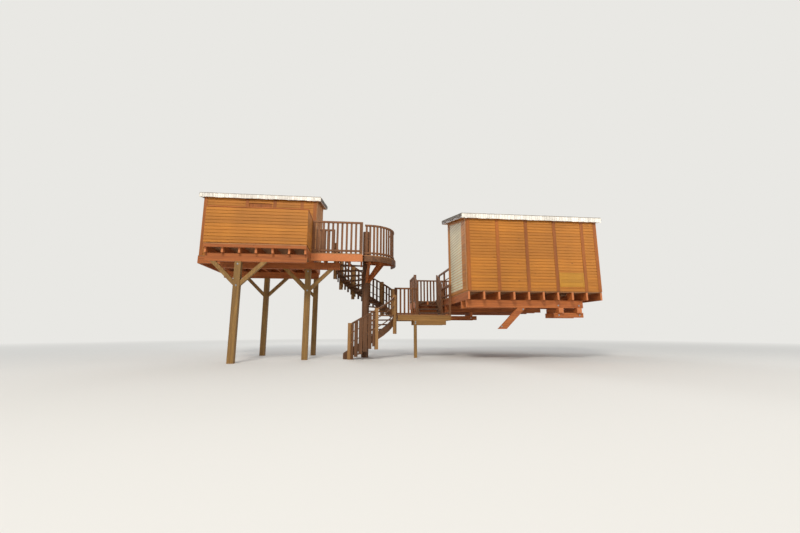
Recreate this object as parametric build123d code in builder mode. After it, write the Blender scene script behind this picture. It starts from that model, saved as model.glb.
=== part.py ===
from build123d import *
import os
from math import cos, radians, sin, tan

# Levels, millimetres above the ground
RISER = 165
WALKWAY_RISERS = 9
LOWER_RISERS = 4
UPPER_RISERS = 12
WALKWAY_Z = RISER * WALKWAY_RISERS
LOWER_Z = WALKWAY_Z + RISER * LOWER_RISERS
UPPER_Z = WALKWAY_Z + RISER * UPPER_RISERS

# Timber sizes shared by all decks
BOARD = 30
JOIST_WIDTH = 60
JOIST_DEPTH = 240
BEARER_WIDTH = 80
BEARER_DEPTH = 160
POST = 100
RAIL_HEIGHT = 1100
RAIL_TIMBER = 60
BALUSTER_WIDTH = 70
BALUSTER_THICKNESS = 22
BALUSTER_SPACING = 150
POST_SPACING = 1050
MID_RAIL = 30
MID_RAILS = (0.35, 0.65)
FIT = 0.3
SOLID_GAP = 4

# Cabins
WALL = 90
ROOF_PITCH = 12
ROOF_DECK = 80
ROOF_COVER = 25
FASCIA = 25
FRONT_EAVES = 70
BACK_EAVES = 350
SIDE_EAVES = 130
DOOR_WIDTH = 780
DOOR_HEIGHT = 1980
DOOR_LEAF = 45
BATTEN_WIDTH = 110
BATTEN_PROUD = 22
SHUTTER_PROUD = 18
SHUTTER_LAP = 40

# Lower cabin and terrace
LOWER_LEFT = 1330
LOWER_FRONT = -2020
LOWER_LENGTH = 4410
LOWER_DEPTH = 2220
LOWER_WALL_HEIGHT = 2370
TERRACE_DEPTH = 3500
LOWER_JOIST_BAYS = 9
BATTEN_SPACING = 960
FIRST_BATTEN = 460
HATCH_WIDTH = 750
HATCH_HEIGHT = 380
HATCH_SILL = 185
PANEL_BACK_GAP = 30
PANEL_HEAD = 90
PANEL_SILL = 50
PANEL_FROM_CORNER = 500
PANEL_FRAME = 60
PANEL_THICKNESS = 60
PANEL_RECESS = 12
LOWER_BEARER_DEPTH = 240
BEARER_SETBACK = 550
YOKE_BLOCK_DEPTH = 150
YOKE_BLOCK_WIDTH = 160
YOKE_DEPTH = 150
YOKE_REACH = 480
KNEE_X = 2985
KNEE_WIDTH = 270
KNEE_REACH = 660
KNEE_DROP = 660

# Trees that pass through, with the square hole left for each
FRONT_TREE_FROM_RIGHT = 1040
FRONT_TREE_Y = -1500
FRONT_TREE_HOLE = 460
TWIN_TREE_Y = 1250
TWIN_TREE_HOLE = 420
WALKWAY_TREE = (570, 310)
WALKWAY_TREE_HOLE = 440

# Walkway between the stair and the terrace
WALKWAY_LEFT = -620
WALKWAY_RIGHT = 1290
WALKWAY_FRONT = -50
WALKWAY_BACK = 1250
WALKWAY_JOIST_DEPTH = 170
STEP_GOING = 280
STEP_LEFT = 330
STEP_WIDTH = 900
STEP_STRINGER = 45
WALKWAY_BEARER_END = 1100

# Winding stair
STAIR_X = -1750
STAIR_Y = 450
CENTRE_POST = 260
STAIR_RADIUS = 1065
STRINGER = 50
STRINGER_DEPTH = 260
TREAD = 45
TREAD_ANGLE = 15
DECK_ANGLE = -12
UPPER_START_ANGLE = 25
NEWEL_ABOVE = 1010
NEWEL_BELOW = 340
BOARD_BELOW = 200
BOARDS_PER_TREAD = 2
GALLERY_BAYS = 13
GALLERY_RIM = 180
GALLERY_RIM_START = 265
BRACKET_ANGLES = (280, 325, 370)
BRACKET_SPREAD = 560
BRACKET_DROP = 800
BRACKET_THICKNESS = 80
GALLERY_PANEL_GAP = 0.4

# Bridge and upper cabin
UPPER_LEFT = -7500
UPPER_LENGTH = 3900
UPPER_WALL_FRONT = 150
UPPER_DEPTH = 2050
UPPER_WALL_HEIGHT = 2200
BALCONY_DEPTH = 2050
BALCONY_SETBACK_BAYS = 2
CABIN_LEDGE = 100
FRONT_RIM_DEPTH = 90
UPPER_JOIST_BAYS = 8
UPPER_POST = 180
MAIN_BEAM_WIDTH = 120
MAIN_BEAM_DEPTH = 240
BRACE = 110
BRACE_REACH = 620
BRIDGE_FRONT = -850
BRIDGE_BACK = 230
BRIDGE_END = -1900
BRIDGE_RAIL_END = -2900
BRIDGE_BAYS = 4
FRONT_POST = (-5585, -1670)
SIDE_POST = (-3700, -490)
BACK_POST_Y = 1800
MAIN_BEAM_END = -2650
MAIN_BEAM_SETBACK = 300
UPPER_DOOR_FROM_LEFT = 1920
UPPER_HATCH_WIDTH = 420
UPPER_HATCH_HEIGHT = 880
UPPER_HATCH_SILL = 690
UPPER_HATCH_FROM_CORNER = 205

LOWER_RIGHT = LOWER_LEFT + LOWER_LENGTH
FRONT_TREE = (LOWER_RIGHT - FRONT_TREE_FROM_RIGHT, FRONT_TREE_Y)
LOWER_WALL_BACK = LOWER_FRONT + LOWER_DEPTH
TERRACE_BACK = LOWER_WALL_BACK + TERRACE_DEPTH
UPPER_RIGHT = UPPER_LEFT + UPPER_LENGTH
BALCONY_LEFT = UPPER_LEFT + BALCONY_SETBACK_BAYS * (UPPER_LENGTH - JOIST_WIDTH) / UPPER_JOIST_BAYS
UPPER_FRONT = UPPER_WALL_FRONT - BALCONY_DEPTH
UPPER_BACK = UPPER_WALL_FRONT + UPPER_DEPTH
SLOPE = tan(radians(ROOF_PITCH))

os.makedirs("parts", exist_ok=True)


def keep(piece, name):
    """Labels a finished piece and writes it."""
    piece.part.label = name
    export_step(piece.part, f"parts/{name}.step")


def timber(low, high, mode=Mode.ADD):
    """Adds a squared timber, or a square cut, between two corners."""
    with Locations(low):
        Box(*(b - a for a, b in zip(low, high)), align=(Align.MIN, Align.MIN, Align.MIN), mode=mode)


def profile(plane, outline, thickness, mode=Mode.ADD):
    """Adds or cuts a straight-edged outline drawn on a plane and carried along its normal."""
    with BuildSketch(plane) as section:
        with BuildLine():
            Polyline(*outline, close=True)
        make_face()
    extrude(section.sketch, amount=thickness, mode=mode)


def spaced(first, last, bays):
    """Even positions from first to last, both included."""
    return [first + (last - first) * step / bays for step in range(bays + 1)]


def rail_panel(start, end, posts=True, filling="boards"):
    """Adds one flat railing between two floor points, filled with upright boards, closed or left open."""
    foot = Vector(start[0], start[1], 0)
    run = Vector(end[0], end[1], 0) - foot
    along = run.normalized()
    plane = Plane(origin=foot, x_dir=along, z_dir=along.cross(Vector(0, 0, 1)))

    def floor_z(distance):
        return start[2] + (end[2] - start[2]) * distance / run.length

    def upright(distance, width, low, high):
        with Locations((distance, floor_z(distance) + low)):
            Rectangle(width, high - low, align=(Align.CENTER, Align.MIN))

    def bar(low, high):
        Polygon(
            (0, start[2] + low),
            (run.length, end[2] + low),
            (run.length, end[2] + high),
            (0, start[2] + high),
            align=None,
        )

    with BuildSketch(plane) as bars:
        bar(RAIL_HEIGHT - RAIL_TIMBER, RAIL_HEIGHT)
        bar(RAIL_TIMBER, 2 * RAIL_TIMBER)
        if posts:
            bays = 1 if filling == "boards" else max(1, round(run.length / POST_SPACING))
            for distance in spaced(RAIL_TIMBER / 2, run.length - RAIL_TIMBER / 2, bays):
                upright(distance, RAIL_TIMBER, 0, RAIL_HEIGHT)
    extrude(bars.sketch, amount=RAIL_TIMBER / 2, both=True)
    with BuildSketch(plane) as infill:
        if filling == "boards":
            count = max(2, round(run.length / BALUSTER_SPACING))
            for step in range(count):
                distance = (step + 0.5) * run.length / count
                upright(distance, BALUSTER_WIDTH, 0, RAIL_HEIGHT - RAIL_TIMBER / 2)
        elif filling == "closed":
            bar(RAIL_TIMBER, RAIL_HEIGHT)
        else:
            for share in MID_RAILS:
                bar(RAIL_HEIGHT * share, RAIL_HEIGHT * share + MID_RAIL)
    extrude(infill.sketch, amount=BALUSTER_THICKNESS / 2, both=True)


def on_stair(angle, radius, height=0):
    """The point at an angle and distance from the stair's centre post."""
    x = STAIR_X + radius * cos(radians(angle))
    y = STAIR_Y + radius * sin(radians(angle))
    return (x, y, height)


def roof_height(base, distance):
    """Underside of a lean-to roof at a distance back from the front wall's face."""
    return base + distance * SLOPE


def sloped_outline(front, near, far, base, low, high):
    """Side outline of a layer that follows the roof, between two distances back."""
    return [
        (front + near, roof_height(base, near) + low),
        (front + far, roof_height(base, far) + low),
        (front + far, roof_height(base, far) + high),
        (front + near, roof_height(base, near) + high),
    ]


def wall_outline(front, near, far, floor, base):
    """Side outline of a wall that stands on the floor and meets the roof."""
    return [
        (front + near, floor),
        (front + far, floor),
        (front + far, roof_height(base, far)),
        (front + near, roof_height(base, near)),
    ]


def cross_wall(left, right, front, near, far, floor, base):
    """Adds the wall that the side outline makes between two places along the cabin."""
    profile(Plane.YZ.offset(left), wall_outline(front, near, far, floor, base), right - left)


def cabin(prefix, left, front, length, depth, floor, wall_height, door_at, front_cut, side_cut, tree=None):
    """Writes one cabin's walls, roof, fascias, corner posts and door."""
    right = left + length
    base = floor + wall_height
    door_left = left + door_at[0] - DOOR_WIDTH / 2
    door_right = door_left + DOOR_WIDTH
    door_wall = front + door_at[1]

    def doorway():
        timber(
            (door_left, door_wall - WALL, floor - BOARD),
            (door_right, door_wall + 2 * WALL, floor + DOOR_HEIGHT),
            mode=Mode.SUBTRACT,
        )

    with BuildPart() as front_wall:
        cross_wall(left, right, front, 0, WALL, floor, base)
        timber(front_cut[0], front_cut[1], mode=Mode.SUBTRACT)
        if door_wall == front:
            doorway()
    keep(front_wall, f"{prefix}_front_wall")

    with BuildPart() as back_wall:
        cross_wall(left, right, front, depth - WALL, depth, floor, base)
        if door_wall > front:
            doorway()
    keep(back_wall, f"{prefix}_back_wall")

    with BuildPart() as left_wall:
        cross_wall(left, left + WALL, front, WALL, depth - WALL, floor, base)
        if side_cut:
            profile(Plane.YZ.offset(left - WALL), side_cut, 3 * WALL, mode=Mode.SUBTRACT)
    keep(left_wall, f"{prefix}_left_wall")

    with BuildPart() as right_wall:
        cross_wall(right - WALL, right, front, WALL, depth - WALL, floor, base)
    keep(right_wall, f"{prefix}_right_wall")

    with BuildPart() as door:
        timber(
            (door_left + FIT, door_wall + (WALL - DOOR_LEAF) / 2, floor),
            (door_right - FIT, door_wall + (WALL + DOOR_LEAF) / 2, floor + DOOR_HEIGHT - FIT),
        )
    keep(door, f"{prefix}_door")

    with BuildPart() as roof_deck:
        profile(
            Plane.YZ.offset(left - SIDE_EAVES),
            sloped_outline(front, -FRONT_EAVES, depth + BACK_EAVES, base, 0, ROOF_DECK),
            length + 2 * SIDE_EAVES,
        )
        if tree:
            tree_passage(tree, base, base + 2 * wall_height)
    keep(roof_deck, f"{prefix}_roof_deck")

    with BuildPart() as covering:
        profile(
            Plane.YZ.offset(left - SIDE_EAVES - FASCIA),
            sloped_outline(
                front,
                -FRONT_EAVES - FASCIA,
                depth + BACK_EAVES + FASCIA,
                base,
                ROOF_DECK,
                ROOF_DECK + ROOF_COVER,
            ),
            length + 2 * SIDE_EAVES + 2 * FASCIA,
        )
        if tree:
            tree_passage(tree, base, base + 2 * wall_height)
    keep(covering, f"{prefix}_roof_covering")

    with BuildPart() as fascias:
        for near in (-FRONT_EAVES - FASCIA, depth + BACK_EAVES):
            profile(
                Plane.YZ.offset(left - SIDE_EAVES - FASCIA),
                sloped_outline(front, near, near + FASCIA, base, -RAIL_TIMBER, ROOF_DECK),
                length + 2 * SIDE_EAVES + 2 * FASCIA,
            )
        for edge in (left - SIDE_EAVES - FASCIA, right + SIDE_EAVES):
            profile(
                Plane.YZ.offset(edge),
                sloped_outline(
                    front,
                    SOLID_GAP - FRONT_EAVES,
                    depth + BACK_EAVES - SOLID_GAP,
                    base,
                    -RAIL_TIMBER,
                    ROOF_DECK,
                ),
                FASCIA,
            )
    keep(fascias, f"{prefix}_fascias")

    with BuildPart() as battens:
        places = [right - BATTEN_WIDTH - FIRST_BATTEN]
        while places[-1] - BATTEN_SPACING > left + BATTEN_SPACING - BATTEN_WIDTH / 2:
            places.append(places[-1] - BATTEN_SPACING)
        for place in places + [left, right - BATTEN_WIDTH]:
            cross_wall(place, place + BATTEN_WIDTH, front, -BATTEN_PROUD, 0, floor, base)
    keep(battens, f"{prefix}_battens")

    with BuildPart() as shutter:
        timber(
            (front_cut[0][0] - SHUTTER_LAP, front - SHUTTER_PROUD, front_cut[0][2] - SHUTTER_LAP),
            (front_cut[1][0] + SHUTTER_LAP, front, front_cut[1][2] + SHUTTER_LAP),
        )
    keep(shutter, f"{prefix}_shutter")


def tree_passage(tree, low, high):
    """Cuts the square hole that the front trunk grows through."""
    half = FRONT_TREE_HOLE / 2
    timber((tree[0] - half, tree[1] - half, low), (tree[0] + half, tree[1] + half, high), mode=Mode.SUBTRACT)


def hatch(left, front, floor, from_left, sill, width, height):
    """Corners of a window cut through a front wall."""
    low = (left + from_left, front - WALL, floor + sill)
    return low, (low[0] + width, front + 2 * WALL, low[2] + height)


def panel_outline(margin):
    """Side outline of the big panel in the left wall, under the slope of the roof."""
    near = PANEL_FROM_CORNER + margin
    far = LOWER_DEPTH - WALL - PANEL_BACK_GAP - margin
    base = LOWER_Z + LOWER_WALL_HEIGHT - PANEL_HEAD - margin
    return wall_outline(LOWER_FRONT, near, far, LOWER_Z + PANEL_SILL + margin, base)


cabin(
    "lower",
    LOWER_LEFT,
    LOWER_FRONT,
    LOWER_LENGTH,
    LOWER_DEPTH,
    LOWER_Z,
    LOWER_WALL_HEIGHT,
    (LOWER_LENGTH / 2, LOWER_DEPTH - WALL),
    hatch(
        LOWER_RIGHT,
        LOWER_FRONT,
        LOWER_Z,
        -(BATTEN_WIDTH + BATTEN_SPACING + HATCH_WIDTH) / 2 - FIRST_BATTEN,
        HATCH_SILL,
        HATCH_WIDTH,
        HATCH_HEIGHT,
    ),
    panel_outline(0),
    FRONT_TREE,
)
cabin(
    "upper",
    UPPER_LEFT,
    UPPER_WALL_FRONT,
    UPPER_LENGTH,
    UPPER_DEPTH,
    UPPER_Z,
    UPPER_WALL_HEIGHT,
    (UPPER_DOOR_FROM_LEFT, 0),
    hatch(
        UPPER_LEFT,
        UPPER_WALL_FRONT,
        UPPER_Z,
        UPPER_HATCH_FROM_CORNER,
        UPPER_HATCH_SILL,
        UPPER_HATCH_WIDTH,
        UPPER_HATCH_HEIGHT,
    ),
    None,
)

with BuildPart() as side_panel:
    profile(Plane.YZ.offset(LOWER_LEFT), panel_outline(FIT), PANEL_THICKNESS)
    profile(Plane.YZ.offset(LOWER_LEFT), panel_outline(PANEL_FRAME), PANEL_RECESS, mode=Mode.SUBTRACT)
keep(side_panel, "side_panel")

# Lower platform: one deck carries the cabin and the terrace, and steps out to the left at the back
landing_front = WALKWAY_BACK + (LOWER_RISERS - 1) * STEP_GOING
joist_top = LOWER_Z - BOARD
joist_low = joist_top - JOIST_DEPTH
bearer_low = joist_low - LOWER_BEARER_DEPTH
bearer_right = LOWER_RIGHT - BEARER_SETBACK
twin_trees = [
    LOWER_LEFT + JOIST_WIDTH + TWIN_TREE_HOLE / 2,
    LOWER_LEFT + JOIST_WIDTH + (LOWER_LENGTH - JOIST_WIDTH) / LOWER_JOIST_BAYS + TWIN_TREE_HOLE / 2,
]
with BuildPart() as lower_deck:
    with BuildSketch(Plane.XY.offset(joist_top)):
        with BuildLine():
            Polyline(
                (LOWER_LEFT, LOWER_FRONT),
                (LOWER_RIGHT, LOWER_FRONT),
                (LOWER_RIGHT, TERRACE_BACK),
                (STEP_LEFT, TERRACE_BACK),
                (STEP_LEFT, landing_front),
                (LOWER_LEFT, landing_front),
                close=True,
            )
        make_face()
        with Locations(FRONT_TREE):
            Rectangle(FRONT_TREE_HOLE, FRONT_TREE_HOLE, mode=Mode.SUBTRACT)
        with Locations(*[(x, TWIN_TREE_Y) for x in twin_trees]):
            Rectangle(TWIN_TREE_HOLE, TWIN_TREE_HOLE, mode=Mode.SUBTRACT)
    extrude(amount=BOARD)
keep(lower_deck, "lower_deck")

joist_places = spaced(LOWER_LEFT, LOWER_RIGHT - JOIST_WIDTH, LOWER_JOIST_BAYS)
joist_back = TERRACE_BACK - JOIST_WIDTH - SOLID_GAP
hole_front = FRONT_TREE[1] - FRONT_TREE_HOLE / 2
hole_back = FRONT_TREE[1] + FRONT_TREE_HOLE / 2
with BuildPart() as lower_joists:
    for place in joist_places[1:-1]:
        timber((place, LOWER_FRONT, joist_low), (place + JOIST_WIDTH, joist_back, joist_top))
    timber(
        (FRONT_TREE[0] - FRONT_TREE_HOLE / 2, hole_front, joist_low),
        (FRONT_TREE[0] + FRONT_TREE_HOLE / 2, hole_back, joist_top),
        mode=Mode.SUBTRACT,
    )
keep(lower_joists, "lower_joists")

with BuildPart() as lower_rims:
    for place in (joist_places[0], joist_places[-1]):
        timber((place, LOWER_FRONT, joist_low), (place + JOIST_WIDTH, joist_back, joist_top))
    timber((STEP_LEFT, TERRACE_BACK - JOIST_WIDTH, joist_low), (LOWER_RIGHT, TERRACE_BACK, joist_top))
    for place in (STEP_LEFT, (STEP_LEFT + LOWER_LEFT) / 2):
        timber((place, landing_front, joist_low), (place + JOIST_WIDTH, joist_back, joist_top))
keep(lower_rims, "lower_rims")


def tree_pair(tree_y, gap):
    """Front faces of the two beams that clasp a trunk."""
    return tree_y - gap / 2 - BEARER_WIDTH, tree_y + gap / 2


front_pair = tree_pair(FRONT_TREE[1], FRONT_TREE_HOLE)
twin_pair = tree_pair(TWIN_TREE_Y, TWIN_TREE_HOLE)
landing_bearers = (landing_front + BEARER_WIDTH, TERRACE_BACK - 4 * BEARER_WIDTH)
with BuildPart() as lower_bearers:
    for place in front_pair + twin_pair:
        timber((LOWER_LEFT, place, bearer_low), (bearer_right, place + BEARER_WIDTH, joist_low))
    for place in landing_bearers:
        timber((STEP_LEFT, place, bearer_low), (bearer_right, place + BEARER_WIDTH, joist_low))
keep(lower_bearers, "lower_bearers")


def yoke(name, pair, left, right, block_width, cross_places):
    """Writes the second tier under a pair of beams: cross blocks, then a lower pair."""
    block_low = bearer_low - YOKE_BLOCK_DEPTH
    with BuildPart() as blocks:
        for place in cross_places:
            timber(
                (place, pair[0] - BEARER_WIDTH, block_low),
                (place + block_width, pair[1] + 2 * BEARER_WIDTH, bearer_low),
            )
    keep(blocks, f"{name}_yoke_blocks")
    with BuildPart() as beams:
        for place in pair:
            timber((left, place, block_low - YOKE_DEPTH), (right, place + BEARER_WIDTH, block_low))
    keep(beams, f"{name}_yoke_beams")


yoke(
    "front",
    front_pair,
    FRONT_TREE[0] - YOKE_REACH,
    FRONT_TREE[0] + YOKE_REACH,
    YOKE_BLOCK_WIDTH,
    [FRONT_TREE[0] - FRONT_TREE_HOLE / 2 - YOKE_BLOCK_WIDTH, FRONT_TREE[0] + FRONT_TREE_HOLE / 2],
)
yoke(
    "back",
    twin_pair,
    LOWER_LEFT,
    twin_trees[1] + YOKE_REACH,
    BEARER_WIDTH,
    [twin_trees[0] - TWIN_TREE_HOLE / 2 - BEARER_WIDTH, twin_trees[1] + TWIN_TREE_HOLE / 2],
)

with BuildPart() as knee_brace:
    profile(
        Plane.XZ.offset(-front_pair[0] - BEARER_WIDTH),
        [
            (KNEE_X, bearer_low),
            (KNEE_X + KNEE_WIDTH, bearer_low),
            (KNEE_X + KNEE_WIDTH - KNEE_REACH, bearer_low - KNEE_DROP),
            (KNEE_X - KNEE_REACH, bearer_low - KNEE_DROP),
        ],
        BEARER_WIDTH,
    )
keep(knee_brace, "knee_brace")

with BuildPart() as terrace_rails:
    rail_line = LOWER_LEFT + RAIL_TIMBER / 2
    rail_panel(
        (rail_line, LOWER_WALL_BACK + SOLID_GAP, LOWER_Z),
        (rail_line, landing_front, LOWER_Z),
        filling="open",
    )
    back_line = TERRACE_BACK - RAIL_TIMBER / 2
    rail_panel((STEP_LEFT, back_line, LOWER_Z), (LOWER_RIGHT, back_line, LOWER_Z))
    right_line = LOWER_RIGHT - RAIL_TIMBER / 2
    back_end = TERRACE_BACK - RAIL_TIMBER - SOLID_GAP
    rail_panel((right_line, LOWER_WALL_BACK + SOLID_GAP, LOWER_Z), (right_line, back_end, LOWER_Z))
    left_line = STEP_LEFT + RAIL_TIMBER / 2
    rail_panel((left_line, landing_front + SOLID_GAP, LOWER_Z), (left_line, back_end, LOWER_Z))
keep(terrace_rails, "terrace_rails")

# Walkway: a small deck round one trunk, between the stair and the steps up to the terrace
walkway_joist_low = WALKWAY_Z - BOARD - WALKWAY_JOIST_DEPTH
STAIR_INNER = CENTRE_POST / 2 + FIT
stair_reach = STAIR_RADIUS + STRINGER / 2 + FIT
with BuildPart() as walkway_deck:
    with BuildSketch(Plane.XY.offset(WALKWAY_Z - BOARD)):
        with BuildLine():
            Polyline(
                on_stair(DECK_ANGLE, CENTRE_POST / 2)[:2],
                on_stair(DECK_ANGLE, stair_reach)[:2],
                (WALKWAY_LEFT, WALKWAY_FRONT),
                (WALKWAY_RIGHT, WALKWAY_FRONT),
                (WALKWAY_RIGHT, WALKWAY_BACK),
                (WALKWAY_LEFT, WALKWAY_BACK),
                on_stair(UPPER_START_ANGLE, stair_reach)[:2],
                on_stair(UPPER_START_ANGLE, CENTRE_POST / 2)[:2],
                close=True,
            )
        make_face()
        with Locations(WALKWAY_TREE):
            Rectangle(WALKWAY_TREE_HOLE, WALKWAY_TREE_HOLE, mode=Mode.SUBTRACT)
        with Locations((STAIR_X, STAIR_Y)):
            Circle(STAIR_INNER, mode=Mode.SUBTRACT)
    extrude(amount=BOARD)
keep(walkway_deck, "walkway_deck")

walkway_joists_at = [
    WALKWAY_LEFT,
    (WALKWAY_LEFT + WALKWAY_TREE[0] - WALKWAY_TREE_HOLE / 2 - JOIST_WIDTH) / 2,
    WALKWAY_TREE[0] - WALKWAY_TREE_HOLE / 2 - JOIST_WIDTH,
    WALKWAY_TREE[0] + WALKWAY_TREE_HOLE / 2,
    WALKWAY_RIGHT - JOIST_WIDTH,
]
walkway_beam_back = WALKWAY_FRONT + BEARER_WIDTH
with BuildPart() as walkway_frame:
    for place in walkway_joists_at:
        timber(
            (place, walkway_beam_back + SOLID_GAP, walkway_joist_low),
            (place + JOIST_WIDTH, WALKWAY_BACK - JOIST_WIDTH - SOLID_GAP, WALKWAY_Z - BOARD),
        )
    for low, high in ((WALKWAY_FRONT, walkway_beam_back), (WALKWAY_BACK - JOIST_WIDTH, WALKWAY_BACK)):
        timber((WALKWAY_LEFT, low, walkway_joist_low), (WALKWAY_RIGHT, high, WALKWAY_Z - BOARD))
keep(walkway_frame, "walkway_frame")

walkway_bearer_low = walkway_joist_low - BEARER_DEPTH
with BuildPart() as walkway_bearers:
    for place in (WALKWAY_FRONT, WALKWAY_TREE[1] + WALKWAY_TREE_HOLE / 2):
        timber(
            (-POST / 2, place, walkway_bearer_low),
            (WALKWAY_BEARER_END, place + BEARER_WIDTH, walkway_joist_low),
        )
keep(walkway_bearers, "walkway_bearers")

with BuildPart() as walkway_post:
    timber((-POST / 2, -POST / 2, 0), (POST / 2, POST / 2, walkway_bearer_low))
keep(walkway_post, "walkway_post")

with BuildPart() as walkway_rails:
    rail_back = WALKWAY_BACK - RAIL_TIMBER / 2
    rail_panel((WALKWAY_LEFT, rail_back, WALKWAY_Z), (STEP_LEFT - SOLID_GAP, rail_back, WALKWAY_Z))
    rail_right = WALKWAY_RIGHT - RAIL_TIMBER / 2
    rail_panel(
        (rail_right, WALKWAY_FRONT, WALKWAY_Z),
        (rail_right, WALKWAY_BACK, WALKWAY_Z),
        filling="open",
    )
keep(walkway_rails, "walkway_rails")

# Straight steps from the walkway up to the terrace landing
step_right = STEP_LEFT + STEP_WIDTH
with BuildPart() as step_treads:
    for step in range(1, LOWER_RISERS):
        front = WALKWAY_BACK + (step - 1) * STEP_GOING
        top = WALKWAY_Z + step * RISER
        timber(
            (STEP_LEFT + STEP_STRINGER, front, top - TREAD),
            (step_right - STEP_STRINGER, front + STEP_GOING - SOLID_GAP, top),
        )
keep(step_treads, "step_treads")

with BuildPart() as step_stringers:
    for place in (STEP_LEFT, step_right - STEP_STRINGER):
        profile(
            Plane.YZ.offset(place),
            [
                (WALKWAY_BACK, walkway_joist_low),
                (landing_front, LOWER_Z - BOARD - JOIST_DEPTH),
                (landing_front, LOWER_Z),
                (landing_front - STEP_STRINGER, LOWER_Z + STEP_STRINGER),
                (WALKWAY_BACK, WALKWAY_Z + RISER + STEP_STRINGER),
            ],
            STEP_STRINGER,
        )
keep(step_stringers, "step_stringers")

with BuildPart() as step_rails:
    for place in (STEP_LEFT - RAIL_TIMBER / 2, step_right + RAIL_TIMBER / 2):
        rail_panel(
            (place, WALKWAY_BACK + SOLID_GAP, WALKWAY_Z + RISER),
            (place, landing_front - SOLID_GAP, LOWER_Z),
        )
keep(step_rails, "step_rails")

# Winding stair: open treads between a round centre post and a curved stringer
lower_start = DECK_ANGLE - TREAD_ANGLE * (WALKWAY_RISERS - 1)
upper_end = UPPER_START_ANGLE + TREAD_ANGLE * (UPPER_RISERS - 1)
with BuildPart() as centre_post:
    with Locations((STAIR_X, STAIR_Y, 0)):
        Cylinder(CENTRE_POST / 2, UPPER_Z + RAIL_HEIGHT, align=(Align.CENTER, Align.CENTER, Align.MIN))
keep(centre_post, "stair_centre_post")


def treads(name, start_angle, first_top, count):
    """Writes one flight of wedge treads as separate solids."""
    with BuildPart() as flight:
        for step in range(count):
            near = start_angle + step * TREAD_ANGLE
            far = near + TREAD_ANGLE
            inside = STAIR_RADIUS - STRINGER / 2 - FIT
            with BuildSketch(Plane.XY.offset(first_top + step * RISER - TREAD)):
                with BuildLine():
                    Polyline(
                        on_stair(near, CENTRE_POST / 2)[:2],
                        on_stair(near, inside)[:2],
                        on_stair(far, inside)[:2],
                        on_stair(far, CENTRE_POST / 2)[:2],
                        close=True,
                    )
                make_face()
                with Locations((STAIR_X, STAIR_Y)):
                    Circle(STAIR_INNER, mode=Mode.SUBTRACT)
            extrude(amount=TREAD)
    keep(flight, name)


treads("lower_treads", lower_start, RISER, WALKWAY_RISERS - 1)
treads("upper_treads", UPPER_START_ANGLE, WALKWAY_Z + RISER, UPPER_RISERS - 1)


def curved_board(radius, width, depth, angles, heights):
    """Adds a board that climbs round the stair, from one upright section to the next."""
    sections = []
    for angle, height in zip(angles, heights):
        outward = Vector(1, 0, 0).rotate(Axis.Z, angle)
        onward = Vector(0, 1, 0).rotate(Axis.Z, angle)
        with BuildSketch(Plane(on_stair(angle, radius, height), x_dir=outward, z_dir=onward)) as section:
            Rectangle(width, depth)
        sections.append(section.sketch)
    loft(sections, ruled=True)


def climb(start_angle, first, count):
    """Angles along a flight and the walking line's height at each."""
    angles = [start_angle + step * TREAD_ANGLE for step in range(count + 1)]
    return angles, [first + step * RISER for step in range(count + 1)]


def stringer(name, start_angle, first, count):
    """Writes the curved board that carries the outer ends of the treads."""
    angles, heights = climb(start_angle, first, count)
    middles = [z + RISER / 2 - TREAD / 2 for z in heights]
    with BuildPart() as board:
        curved_board(STAIR_RADIUS, STRINGER, STRINGER_DEPTH, angles, middles)
        timber(
            (STAIR_X - 2 * STAIR_RADIUS, STAIR_Y - 2 * STAIR_RADIUS, -STRINGER_DEPTH),
            (STAIR_X + 2 * STAIR_RADIUS, STAIR_Y + 2 * STAIR_RADIUS, 0),
            mode=Mode.SUBTRACT,
        )
    keep(board, name)


stringer("lower_stringer", lower_start, 0, WALKWAY_RISERS - 1)
stringer("upper_stringer", UPPER_START_ANGLE, WALKWAY_Z, UPPER_RISERS - 1)

newel_line = STAIR_RADIUS + STRINGER / 2 + FIT + POST / 2
rail_face = newel_line * cos(radians(TREAD_ANGLE / 2))


def stair_rail(name, start_angle, first, floor, newels, boarded):
    """Writes the newels, the climbing handrail with its mid rails, and the upright boards as one frame."""
    angles, heights = climb(start_angle, first, newels[-1])
    board_step = TREAD_ANGLE / BOARDS_PER_TREAD
    handrail = [z + NEWEL_ABOVE - RAIL_TIMBER for z in heights]
    with BuildPart() as frame:
        curved_board(newel_line, RAIL_TIMBER, RAIL_TIMBER, angles, handrail)
        for share in MID_RAILS:
            curved_board(newel_line, MID_RAIL, MID_RAIL, angles, [z + NEWEL_ABOVE * share for z in heights])
        for step in newels:
            foot = max(floor, heights[step] - NEWEL_BELOW)
            with Locations(Location(on_stair(angles[step], newel_line, foot), (0, 0, angles[step]))):
                height = heights[step] + NEWEL_ABOVE - foot
                Box(POST, POST, height, align=(Align.CENTER, Align.CENTER, Align.MIN))
        for board in range(int(BOARDS_PER_TREAD * boarded)):
            angle = start_angle + (board + 0.5) * board_step
            tread_line = first + (board + 0.5) * RISER / BOARDS_PER_TREAD
            foot = max(floor, tread_line - BOARD_BELOW)
            top = tread_line + NEWEL_ABOVE - RAIL_TIMBER
            off_middle = (board + 0.5) * board_step % TREAD_ANGLE - TREAD_ANGLE / 2
            radius = rail_face / cos(radians(off_middle))
            with Locations(Location(on_stair(angle, radius, foot), (0, 0, angle))):
                Box(
                    BALUSTER_THICKNESS,
                    BALUSTER_WIDTH,
                    top - foot,
                    align=(Align.CENTER, Align.CENTER, Align.MIN),
                )
    keep(frame, name)


stair_rail("lower_stair_rail", lower_start + TREAD_ANGLE, RISER, 0, (0, 3, 6), 3)
stair_rail("upper_stair_rail", UPPER_START_ANGLE, WALKWAY_Z, WALKWAY_Z, (0, 2, 4, 6, 8, 10), 10)

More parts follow.
